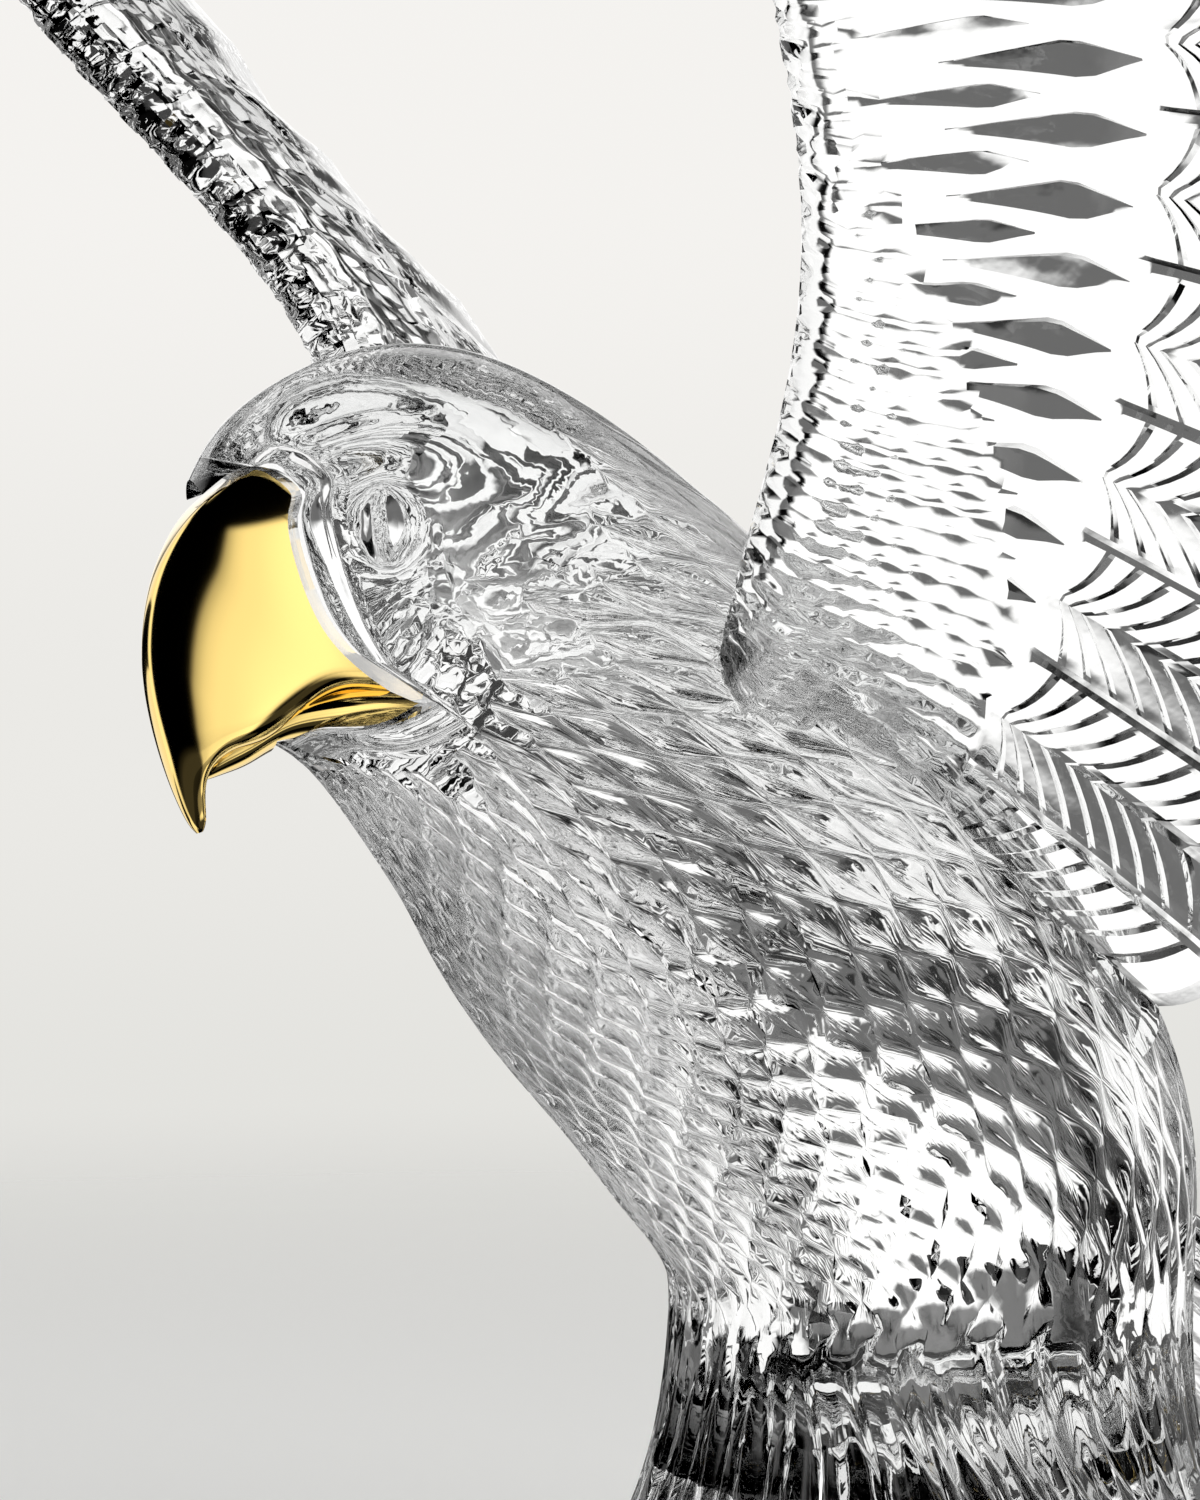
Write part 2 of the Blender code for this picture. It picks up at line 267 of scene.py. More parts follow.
def inside_notch(side_view):
    """Whether side-view points lie in the notch: an odd count of outline edges beside them."""
    outline = np.concatenate([notch_line(), [CHIN_FRONT]])
    y, z = side_view[..., 0:1], side_view[..., 1:2]
    y1, z1 = outline.T
    y2, z2 = np.roll(outline, -1, axis=0).T
    rise = np.where(z2 == z1, TINY, z2 - z1)
    crossed = ((z1 > z) != (z2 > z)) & (y < (y2 - y1) * (z - z1) / rise + y1)
    return crossed.sum(-1) % 2 == 1


def rim_sections(around):
    """The section at which the crystal begins behind the notch, for each angle."""
    points, _ = body_side_view(RIM_TRIALS[:, None], around[None])
    inside = inside_notch(points[..., 1:])
    last = len(inside) - 1 - np.argmax(inside[::-1], axis=0)
    behind = np.minimum(last + 1, len(RIM_TRIALS) - 1)
    return np.where(inside.any(axis=0), RIM_TRIALS[behind], 0)


OVAL_COLUMNS = 68          # rows of cut ovals round the body, and of flutes round the foot
OVAL_ROWS = 80             # rows of the grid from the cheek to the waist
ACROSS = np.array([-1, -0.5, 0, 0.5, 1])    # threads across a cut, from rim to rim
NARROWEST = 0.05           # half width left at a cut's pointed ends, in pitches
OVAL_HALF = 0.76           # half width of an oval at its middle, in pitches
OVAL_FULLNESS = 1.4
PLAIN_HALF = 0.4           # half width of a column's threads where nothing is cut
OVAL_BREADTHS = (0.84, 1.04)                # least and most, in shares of the width and depth
OVAL_DEEPNESSES = (0.75, 1.2)
# Share of the cuts' depth by degrees all the way round from the crown, over the left side first
SIDE_DEPTHS = [(0, 0.4), (25, 0.7), (45, 1), (215, 1), (235, 0.2), (335, 0.2), (360, 0.4)]
# The ovals of the neck: degrees from the crown up to which they are narrower and deeper, degrees
# they change over, and by what shares
NECK, NECK_BLEND, NECK_NARROWER, NECK_DEEPER = 118, 30, 0.2, 0.3
# Shallower ovals: near the crown within these degrees, and in the last tenth before the waist
CROWN, CROWN_BLEND, CROWN_SHALLOWER = 30, 20, 0.55
WAIST_BEGINS, WAIST_SHALLOWER = 0.9, 0.6
FACE_ROWS = 34

FLUTE_HALF = 0.47          # half width of a flute, in pitches
FLUTE_BEND = 0.30          # sway of the flutes, in pitches
FLUTE_TWIST = 26           # degrees that the flutes of both sides run back by, from waist to rim
TWIST_BEGINS, TWIST_SPAN = 9.4, 3           # sections
FLUTES_BEGIN, FLUTES_STAGGER = 9.7, 0.3
FLUTES_DEEPEN, FLUTES_SETTLE = 0.8, 2       # sections to full depth and to an even spread
FLUTE_DEEPNESSES = (0.7, 1.1)
# Sways of the flutes: size, and radians to a section, round the foot and to a column
FLUTE_SWAYS = [(1, 2.2, 5, 0), (0.6, 4.1, 0, -3)]
UNEVEN, UNEVEN_RUN, UNEVEN_STEP = 0.2, 2.1, 2.4       # the same for the flutes' depth

# The table of lengths along the body: rows, degrees to a column, steps of a search in it, and
# how far short of its end a search stays
LENGTH_ROWS, LENGTH_DEGREES, HALVINGS, LAST_CELL = 281, 5, 14, 1.001

# How the rows of ovals run: degrees round from the crown of the columns that stand evenly every
# 30 degrees, where the ovals begin, at mid length and at the waist
OVAL_FLOW = [(0, 54, 90, 110, 129, 151, 180), (0, 27, 60, 96, 129, 156, 180),
             (0, 31, 62, 94, 126, 154, 180)]
FLOW_HASTE = 1.8           # how early the rows turn from the first curve to the middle one
# Sways of the rows: degrees, waves round the body, radians from cheek to waist, and shift
WANDERS = [(0.9, 5, 9, 0), (0.7, 11, -7, 1)]
# Rows to an oval, by even degrees round from the crown: in the first ovals and in the rest
OVAL_LENGTHS = [(0, 7, 7), (30, 8, 7), (60, 9, 7), (90, 9, 7), (106, 8, 7), (118, 7, 6),
                (130, 6, 6), (180, 6, 6)]
LONG_OVALS = 4
RIM_STEP = 0.05            # of a section, to measure the body's length behind the rim over
# Bands parallel to the rim of the notch: distance behind it and height over the face
RIM_BAND = [(0, -0.25), (0.45, 0.2), (1.2, 0.38), (2.5, 0.42), (3.7, 0.34), (4.3, 0.05),
            (4.8, -0.3), (5.4, -0.2), (6.6, 0)]
RIM_BAND_SPAN = (44, 12, 158, 25)           # degrees round, as fade_between takes them
# Where the ovals begin, by degrees round from the crown
OVALS_BEGIN = [(0, 4.3), (45, 4.1), (60, 4.0), (90, 3.9), (112, 3.75), (130, 3.2), (145, 2.3),
               (160, 1.25), (180, 0.8)]
FOOT_ROWS = [10, 10.12, 10.25, 10.4, 10.55, 10.7, 10.9, 11.1, 11.35, 11.6, 11.9, 12.2, 12.5,
             12.8, 13.05, 13.3, 13.55, 13.8, 14]
EYE_LENS = ((2.27, 79), (0.21, 9.4))        # place and reach as (section, degrees)
EYE_ROUNDNESS = 0.55


def across_cut(within, narrowest=NARROWEST):
    """Half width along a pointed cut, at w from -0.5 to 0.5: 1 - |2w|^1.4, or the narrowest."""
    return np.maximum(1 - np.abs(2 * within) ** OVAL_FULLNESS, narrowest)


def bowl(across):
    """Depth across a wheel cut, from rim to rim: 1 - x^2."""
    return 1 - across ** 2


def flow_round(even, begun):
    """Angles that evenly spread columns take: the flow's curves, blended along the ovals."""
    degrees = from_crown(even)
    start, middle, end = (curve_through(np.array(row)[:, None], degrees / 30)[..., 0]
                          for row in OVAL_FLOW)
    to_middle = 1 - np.clip(1 - 2 * begun, 0, 1) ** FLOW_HASTE
    to_end = ease(2 * begun - 1)
    flowed = start + (middle - start) * to_middle + (end - middle) * to_end
    wander = sum(size * np.sin(waves * even + run * begun + shift)
                 for size, waves, run, shift in WANDERS)
    flowed = flowed + wander * np.sin(np.radians(degrees)) * ease(4 * begun) * ease(4 - 4 * begun)
    mirrored = np.degrees(even) % 360 > 180
    return np.radians(np.where(mirrored, 360 - flowed, flowed))


def body_lengths():
    """Length along the body up to each section, on lines at even degrees round it."""
    section = np.linspace(0, len(SECTIONS) - 1, LENGTH_ROWS)
    around = np.radians(np.arange(0, 180 + LENGTH_DEGREES, LENGTH_DEGREES))
    points, share = body_side_view(section[:, None], around[None])
    steps = np.linalg.norm(np.diff(turn_head(points, share), axis=0), axis=-1)
    return np.concatenate([np.zeros((1, len(around))), np.cumsum(steps, axis=0)])


def length_at(section, around, table):
    """Length along the body at a section and angle, between the table's four neighbours."""
    row = np.clip(section / (len(SECTIONS) - 1) * (len(table) - 1), 0, len(table) - LAST_CELL)
    column = np.clip(from_crown(around) / LENGTH_DEGREES, 0, table.shape[1] - LAST_CELL)
    low, left = row.astype(int), column.astype(int)
    down, over = row - low, column - left
    upper = table[low, left] * (1 - over) + table[low, left + 1] * over
    lower = table[low + 1, left] * (1 - over) + table[low + 1, left + 1] * over
    return upper * (1 - down) + lower * down


def section_at(length, around, table):
    """The section where the body's line at an angle has a given length, by halving."""
    low = np.zeros(np.broadcast(length, around).shape)
    high = low + len(SECTIONS) - 1
    for _ in range(HALVINGS):
        middle = (low + high) / 2
        short = length_at(middle, around, table) < length
        low, high = np.where(short, middle, low), np.where(short, high, middle)
    return (low + high) / 2


def side_depth(column):
    """How deep the cuts are round the body: shallower on the side turned away from the light."""
    return np.interp(column / OVAL_COLUMNS * 360, *np.array(SIDE_DEPTHS).T)


def oval_cuts(rng, row, column, thread, deepest):
    """Half width, in pitches, and depth of the staggered ovals at each row and column."""
    even = np.arange(OVAL_COLUMNS) * 360 / OVAL_COLUMNS
    even = np.minimum(even, 360 - even)
    places, upper, lower = np.array(OVAL_LENGTHS).T
    upper, lower = (np.round(np.interp(even, places, rows)).astype(int) for rows in (upper, lower))
    phase = (np.arange(OVAL_COLUMNS) % 2) * (upper // 2) + rng.integers(0, 2, OVAL_COLUMNS)
    upper, lower, run = upper[column], lower[column], row + phase[column]
    changed = LONG_OVALS * upper
    late = run >= changed
    cell = np.where(late, LONG_OVALS + (run - changed) // lower, run // upper)
    within = np.where(late, (run - changed) % lower / lower, run % upper / upper) - 0.5
    first = np.where(late, changed + (cell - LONG_OVALS) * lower, cell * upper)
    last = first + np.where(late, lower, upper)
    whole = (first >= phase[column]) & (last - phase[column] <= OVAL_ROWS + 1)
    breadth = rng.uniform(*OVAL_BREADTHS, (OVAL_ROWS // 4, OVAL_COLUMNS))[cell, column]
    deep = rng.uniform(*OVAL_DEEPNESSES, (OVAL_ROWS // 4, OVAL_COLUMNS))[cell, column]
    on_neck = ease((NECK - even[column]) / NECK_BLEND)
    half = OVAL_HALF * breadth * across_cut(within) * (1 - NECK_NARROWER * on_neck)
    depth = deepest * deep * across_cut(within, 0) * bowl(thread) * (1 + NECK_DEEPER * on_neck)
    fading = 1 - CROWN_SHALLOWER * ease((CROWN - even[column]) / CROWN_BLEND)
    at_waist = ease((row / OVAL_ROWS - WAIST_BEGINS) / (1 - WAIST_BEGINS))
    fading = fading * (1 - WAIST_SHALLOWER * at_waist) * side_depth(column)
    return np.where(whole, half, PLAIN_HALF), depth * whole * fading


def foot_flow(section, column, thread, waist):
    """Angles of the flutes: they leave the waist's ovals, sway on two sines and twist back."""
    pitch = 2 * np.pi / OVAL_COLUMNS
    around = pitch * (column + FLUTE_HALF * thread) + 0 * section
    around = waist + (around - waist) * ease((section - WAIST) / FLUTES_SETTLE)
    bends = sum(size * np.sin(run * section + turns * around + step * column)
                for size, run, turns, step in FLUTE_SWAYS)
    around = around + FLUTE_BEND * pitch * bends * ease((section - WAIST) / FLUTES_DEEPEN)
    twisted = ease((section - TWIST_BEGINS) / TWIST_SPAN)
    at_waist = ease((WAIST - TWIST_BEGINS) / TWIST_SPAN)
    return around - np.radians(FLUTE_TWIST) * (twisted - at_waist) * np.sin(around)


def body_grid(rng, settings):
    """Rows of threads round the body: rim band, face, staggered ovals, waist and flutes.

    Each point is the body's surface + outward normal x height, and the cuts lie below 0."""
    column = np.repeat(np.arange(OVAL_COLUMNS), len(ACROSS))[None]
    thread = np.tile(ACROSS, OVAL_COLUMNS)[None]
    pitch = 2 * np.pi / OVAL_COLUMNS
    row = np.arange(OVAL_ROWS + 1)[:, None]
    begun = row / OVAL_ROWS
    half, cut_depth = oval_cuts(rng, row, column, thread, settings.oval_depth / MM)
    oval_around = flow_round(pitch * (column + half * thread), begun)
    plain_around = flow_round(pitch * (column + PLAIN_HALF * thread), 0 * begun[:1])

    rim = rim_sections(plain_around[0] % (2 * np.pi))[None]
    degrees = from_crown(plain_around)
    begin = np.interp(degrees, *np.array(OVALS_BEGIN).T)
    behind_rim = body_surface(rim + RIM_STEP, plain_around) - body_surface(rim, plain_around)
    per_section = np.linalg.norm(behind_rim, axis=-1) / RIM_STEP
    distance, height = np.array(RIM_BAND).T[..., None]
    band_section = rim + distance / per_section
    band_height = height * fade_between(degrees, RIM_BAND_SPAN)
    share = np.arange(1, FACE_ROWS + 1)[:, None] / (FACE_ROWS + 1)
    face_section = band_section[-1:] + (begin - band_section[-1:]) * share

    table = body_lengths()
    start = length_at(begin, oval_around, table)
    end = length_at(WAIST + 0 * oval_around, oval_around, table)
    oval_section = section_at(start + (end - start) * begun, oval_around, table)
    oval_section[0] = section_at(length_at(begin, plain_around, table), plain_around, table)[0]

    foot_section = np.array(FOOT_ROWS, float)[1:, None]
    foot_around = foot_flow(foot_section, column, thread, oval_around[-1:])
    flute_start = rng.uniform(0, 1, OVAL_COLUMNS)[column]
    flute_start = FLUTES_BEGIN + FLUTES_STAGGER * (column % 2) + FLUTES_STAGGER * flute_start
    deepening = ease((foot_section - flute_start) / FLUTES_DEEPEN)
    fluted = deepening * rng.uniform(*FLUTE_DEEPNESSES, OVAL_COLUMNS)[column]
    uneven = 1 + UNEVEN * np.sin(UNEVEN_RUN * foot_section + UNEVEN_STEP * column)
    flute = bowl(thread) * settings.flute_depth / MM * fluted * uneven * side_depth(column)

    columns = plain_around.shape[1]
    section = np.concatenate([band_section, face_section, oval_section,
                              foot_section + np.zeros((1, columns))])
    around = np.concatenate([np.repeat(plain_around, len(band_section) + FACE_ROWS, 0),
                             oval_around, foot_around])
    raised = np.concatenate([band_height, np.zeros((FACE_ROWS, columns)), -cut_depth, -flute])
    raised = raised + settings.eye_height / MM * eye_lens(section, around)
    points = body_surface(section, around) + body_outward(section, around) * raised[..., None]
    points[-1, :, 2] = 0
    return points


def eye_lens(section, around):
    """A half lens, steep in front and fading behind: (1 - r^2)^0.55 (1 - a) / 2."""
    (place, angle), (reach, spread) = EYE_LENS
    ahead, beside = (section - place) / reach, (from_crown(around) - angle) / spread
    inside = np.clip(1 - ahead ** 2 - beside ** 2, 0, 1)
    return inside ** EYE_ROUNDNESS * (0.5 - 0.5 * ahead)


def ring_faces(rows, columns):
    """Quads between the closed rings of a grid, as vertex numbers."""
    index = np.arange(rows * columns).reshape(rows, columns)
    beside = np.roll(index, -1, axis=1)
    return np.stack([index[:-1], index[1:], beside[1:], beside[:-1]], -1).reshape(-1, 4)


def tube_faces(rows, columns):
    """Quads between the closed rings of a grid and a cap at each end."""
    ends = np.arange(rows * columns).reshape(rows, columns)[[0, -1]].tolist()
    return ring_faces(rows, columns).tolist() + [ends[0], ends[1][::-1]]


def make_piece(name, points, faces, material, crisp=None):
    """A closed mesh from its vertices in millimetres and its faces, some marked as crisp."""
    mesh = bpy.data.meshes.new(name)
    mesh.from_pydata((points * MM).tolist(), [], faces)
    if crisp is not None:
        mesh.materials.append(material)
        mesh.polygons.foreach_set("material_index", np.asarray(crisp, np.int32))
    work = bmesh.new()
    work.from_mesh(mesh)
    bmesh.ops.recalc_face_normals(work, faces=work.faces)
    work.to_mesh(mesh)
    work.free()
    mesh.materials.append(material)
    piece = bpy.data.objects.new(name, mesh)
    bpy.context.scene.collection.objects.link(piece)
    return piece


def make_body(rng, material, settings):
    """Rings from the rim to the underside; the notch is closed straight across the head."""
    points = body_grid(rng, settings)
    rows, columns = points.shape[:2]
    faces = ring_faces(rows, columns).tolist()
    edge = np.arange(len(ACROSS) // 2, len(ACROSS) // 2 + columns // 2)
    opposite = (len(ACROSS) - 1 - edge) % columns
    after = (len(ACROSS) - 2 - edge) % columns
    wall = np.stack([edge, edge + 1, after, opposite], -1)
    crisp = np.concatenate([np.zeros(len(faces)), np.ones(len(wall)), np.zeros(columns)])
    faces += [list(dict.fromkeys(corners)) for corners in wall.tolist()]
    centre = rows * columns
    underside = np.stack([np.arange(columns), (np.arange(columns) + 1) % columns], -1)
    underside = underside + (rows - 1) * columns
    faces += [[a, b, centre] for a, b in underside.tolist()]
    points = np.concatenate([points.reshape(-1, 3), [[0, 0, 0]]])
    return make_piece("crystal_body", points, faces, material, crisp)


# ---------------------------- wings

WING_THREADS = 16          # grid rows to a flight feather, half of them to a row of wedge cuts
# Feathers that the wedge rows rise by behind the nose, by feather
WING_LIFT = [(0, 0), (2, 0.35), (4, 0.5), (6, 0.2), (8, -0.15), (10, -0.3), (14, -0.25), (16, 0)]
NOSE_BAND = [0, 0.003, 0.012, 0.024, 0.038, 0.054, 0.072, 0.09]    # shares of the wing's length
WEDGE_COLUMNS = [0.11, 0.13, 0.15, 0.17, 0.19, 0.21, 0.23, 0.25, 0.27, 0.29, 0.31, 0.33, 0.355,
                 0.38, 0.40, 0.42, 0.445]
# Wedge cuts: first thread of eight, middle in feathers, first and last share, half width in
# feathers, share of the full depth
WEDGES = [(0, 0.094, 0.09, 0.31, 0.095, 0.68), (4, 0.344, 0.19, 0.445, 0.14, 1.0)]
WEDGE_ACROSS = [(-1, 0), (-0.2, 0.5), (0.55, 1), (1, 0)]    # place across a wedge and its depth
WEDGE_WIDEST = 0.7
FLIGHT_BEGINS = 0.445
FLIGHT_THREADS = [0, 0.05, 0.12, 0.20, 0.28, 0.36, 0.42, 0.455, 0.5, 0.545, 0.58, 0.64, 0.72,
                  0.80, 0.88, 0.95]
ALONG_BARB = [0, 0.5, 1, 1, 1, 1, 0.7, 0, 0, 0, 0.7, 1, 1, 1, 1, 0.5]
WEDGES_BEGIN, THREADS_SET = 0.08, 0.475     # shares between which threads are drawn to the cuts
# Spans of the shaft, the groove between feathers and the barbs' lean, as fade_between takes them
SHAFT_SPAN = (0.43, 0.05, 0.985, 0.1)
GROOVE_SPAN = (0.6, 0.2, 1, 0.03)
LEAN_SPAN = (FLIGHT_BEGINS, 0.2, 1, 0.14)
FIRST_BARB, BARB_RISE, LAST_BARB = 0.47, 0.02, 0.95
FEATHER_GROOVE = 0.5
BARBS = 11
BARB_THREADS = [0, 0.16, 0.32]
BARB_MARGIN = 0.012        # share of the length left before the first barb and after the last
BARB_LEANS = (0.125, 0.2)  # share of the length that barbs run back by in a feather's width
# Root of the wing: share of the length that small ovals take, by feather
ROOT_OVALS = [(0, 0.45), (2, 0.45), (3, 0.38), (4, 0.27), (5, 0.16), (6, 0.09)]
ROOT_BLEND = 0.03
# Least and most of the full depth: small ovals, a row's cuts, and the facets within a cut
SMALL_DEEPNESSES, CUT_DEEPNESSES, FACET_DEEPNESSES = (0.5, 1.2), (0.85, 1.1), (0.82, 1.1)
INNER_COLUMNS = np.concatenate([np.linspace(1, 0.5, 7)[:-1], np.linspace(0.5, 0.09, 21)[:-1],
                                NOSE_BAND[:0:-1]])
HAMMER_DEPTHS = {1: 0.35, -1: 1.3}          # on the left and the right wing
HAMMER_ENDS = (0.05, 0.125)                 # shares they fade over, at the nose and at the ends
DISH_JITTER, DISH_STEEPNESS = 0.32, 1.6
FEATHER_WIDTH, WING_LENGTH = 17, 110


def wing_surface(feather, share, side):
    """A point of the left wing: edge + chord x reach + normal x (camber + side x half thickness).

    The nose is a quarter ellipse, behind it the thickness falls as an exponential, and the
    reach is shortened in the gaps between feather ends."""
    at = feather / WING_FEATHERS * (len(WING) - 1)
    row, ahead, behind = (curve_through(WING, at + step) for step in (0, WING_STEP, -WING_STEP))
    edge, rise, outward = row[..., 0:3], np.radians(row[..., 3]), np.radians(row[..., 4])
    length, nose = row[..., 5], row[..., 6] / 2
    within = 2 * np.abs(feather - np.floor(feather) - 0.5)
    notch = (ROOT_NOTCH + (TIP_NOTCH - ROOT_NOTCH) * (feather / WING_FEATHERS) ** 3) * within ** 3
    length = length * (1 - notch)
    chord = np.stack([np.cos(rise) * np.sin(outward), np.cos(rise) * np.cos(outward),
                      np.sin(rise)], -1)
    normal = unit(np.cross(chord, (ahead - behind)[..., 0:3]))
    reach = share * length
    behind_nose = np.clip((reach - nose) / (length - nose), 0, 1)
    rounded = np.sqrt(np.clip(1 - (1 - np.clip(reach / nose, 0, 1)) ** 2, 0, 1))
    half = nose * rounded * (WING_EDGE + (1 - WING_EDGE) * np.exp(-behind_nose * WING_THINNING))
    half = half + FEATHER_RIDGE * (0.5 - within) * np.clip(3 * (share - RIDGES_BEGIN), 0, 1)
    half = half * ease(TIP_CLOSING * (WING_FEATHERS - feather) + TIP_LEFT)
    half = np.where((share == 0) | (share == 1), 0, half)
    camber = -WING_CAMBER * np.sin(np.pi * share)
    return edge + chord * (reach - nose)[..., None] + normal * (camber + side * half)[..., None]


def wing_rows(row, share):
    """Feather number of a row: even, but lower at the nose so that the rows rise behind it."""
    even = row / WING_THREADS
    lift = np.interp(even, *np.array(WING_LIFT).T)
    return even - lift * (1 - ease(share / FLIGHT_BEGINS))


def wedge_width(within):
    """Half width along a wedge cut: rises straight to its widest place, then closes."""
    return np.clip(np.minimum(within / WEDGE_WIDEST, (1 - within) / (1 - WEDGE_WIDEST)), 0, 1)


def wing_pattern(share, settings):
    """Places in feathers and depths of one feather's threads: wedge cuts, shaft and barbs."""
    columns = len(share)
    knots = [[(0, place / WING_THREADS), (WEDGES_BEGIN, place / WING_THREADS),
              (THREADS_SET, offset), (1, offset)] for place, offset in enumerate(FLIGHT_THREADS)]
    depth = np.zeros((WING_THREADS, columns))
    for half_feather in (0, 1):
        for first, middle, start, end, half, deep in WEDGES:
            at = share[(share >= start - TINY) & (share <= end + TINY)]
            width = np.maximum(wedge_width((at - start) / (end - start)), NARROWEST)
            reach = wedge_width((share - start) / (end - start))
            for step, (across, fall) in enumerate(WEDGE_ACROSS):
                place = half_feather * WING_THREADS // 2 + first + step
                knots[place] += zip(at, middle + half_feather / 2 + across * half * width)
                depth[place] = settings.wedge_depth / MM * deep * fall * reach
    offset = np.array([np.interp(share, *np.array(sorted(knot)).T) for knot in knots])
    flight = share[-3 * BARBS:]
    barbs = np.tile([0, 1, 0], BARBS) * ease((flight - FIRST_BARB) / BARB_RISE)
    barbs = barbs * (flight < LAST_BARB)
    depth[:, -3 * BARBS:] += np.array(ALONG_BARB)[:, None] * barbs * settings.barb_depth / MM
    depth[WING_THREADS // 2] += settings.shaft_depth / MM * fade_between(share, SHAFT_SPAN)
    depth[0] += FEATHER_GROOVE * fade_between(share, GROOVE_SPAN)
    return offset, depth


def wing_outer(rng, settings):
    """Feather number, share of the length, depth of cut and crispness on the outer face."""
    barb = np.arange(BARBS)[:, None] + np.array(BARB_THREADS)[None]
    flight = FLIGHT_BEGINS + BARB_MARGIN + (1 - BARB_MARGIN - FLIGHT_BEGINS) * barb.ravel() / BARBS
    share = np.concatenate([NOSE_BAND, WEDGE_COLUMNS, flight])
    rows = WING_FEATHERS * WING_THREADS + 1
    row, column = np.arange(rows)[:, None], np.arange(len(share))[None]
    thread, number = row[:, 0] % WING_THREADS, row // WING_THREADS
    offset, depth = wing_pattern(share, settings)
    feather = wing_rows(row, share)

    root = ease((np.interp(feather, *np.array(ROOT_OVALS).T) - share) / ROOT_BLEND + 0.5)
    offset = number + offset[thread]
    even = row / WING_THREADS
    offset = feather - even + offset + (even - offset) * root
    cut, along_cut = row // 3, column + row // 3 * 2
    small = bowl(2 * (row % 3) / 3 - 1) * bowl(2 * (along_cut % 3) / 3 - 1)
    small = small * rng.uniform(*SMALL_DEEPNESSES, (rows, rows))[cut, along_cut // 3]
    each_cut = rng.uniform(*CUT_DEEPNESSES, 2 * WING_FEATHERS + 1)
    depth = depth[thread] * each_cut[row // (WING_THREADS // 2)]
    depth = depth * rng.uniform(*FACET_DEEPNESSES, depth.shape)
    depth = depth + (settings.root_depth / MM * small - depth) * root

    in_band = column < len(NOSE_BAND)
    depth = np.where(in_band, settings.band_depth / MM * small, depth)
    aside = np.array(FLIGHT_THREADS) - 0.5
    lean = np.where(aside < 0, BARB_LEANS[0], BARB_LEANS[1]) * np.abs(aside)
    leaning = share - lean[thread][:, None] * fade_between(share, LEAN_SPAN)
    crisp = (root < 0.5) & ~in_band
    return np.clip(offset, 0, WING_FEATHERS), leaning, depth, crisp


def hammered(along, aside, size, rng):
    """Shallow dishes meeting in ridges: 1 - 1.6 d^2, with d the distance in dishes to the nearest
    of the jittered centres."""
    columns = int(np.ceil(aside.max() / size)) + 2
    rows = int(np.ceil(along.max() / size)) + 2
    jitter = rng.uniform(-DISH_JITTER, DISH_JITTER, (rows + 2, columns + 2, 2))
    cell = np.stack([along, aside], -1) / size
    base = np.floor(cell).astype(int)
    nearest = np.full(along.shape, np.inf)
    for step in np.ndindex(3, 3):
        at = base + np.array(step) - 1
        index = np.clip(at + 1, 0, [rows + 1, columns + 1])
        centre = at + 0.5 + jitter[index[..., 0], index[..., 1]]
        nearest = np.minimum(nearest, ((cell - centre) ** 2).sum(-1))
    return np.clip(1 - DISH_STEEPNESS * nearest, 0, 1)


def make_wing(name, mirror, rng, material, settings):
    """Rings of the outer face with its cuts and of the hammered inner face, back to the nose."""
    outer_at, outer_share, outer_depth, outer_crisp = wing_outer(rng, settings)
    rows = len(outer_at)
    row = np.arange(rows)[:, None]
    inner_share = INNER_COLUMNS[None] + 0 * row
    inner_at = np.clip(wing_rows(row, inner_share), 0, WING_FEATHERS)
    outer = wing_surface(outer_at, outer_share, 1)
    inner = wing_surface(inner_at, inner_share, -1)
    along, aside = inner_at * FEATHER_WIDTH, inner_share * WING_LENGTH
    hammer = HAMMER_DEPTHS[mirror] * hammered(along, aside, settings.dish_size / MM, rng)
    hammer = hammer * np.clip((1 - inner_share) / HAMMER_ENDS[1], 0, 1)
    hammer = hammer * ease(inner_share / HAMMER_ENDS[0])
    points = np.concatenate([outer, inner], 1)
    depth = np.concatenate([outer_depth, hammer], 1)
    down = np.gradient(points, axis=0)
    across = np.roll(points, -1, 1) - np.roll(points, 1, 1)
    normal = unit(np.cross(across, down))
    points = (points - normal * depth[..., None]) * (mirror, 1, 1)
    columns = points.shape[1]
    crisp = np.concatenate([outer_crisp[1:], np.ones(inner_share[1:].shape)], 1)
    crisp = np.concatenate([crisp.ravel(), [1, 1]])
    return make_piece(name, points.reshape(-1, 3), tube_faces(rows, columns), material, crisp)


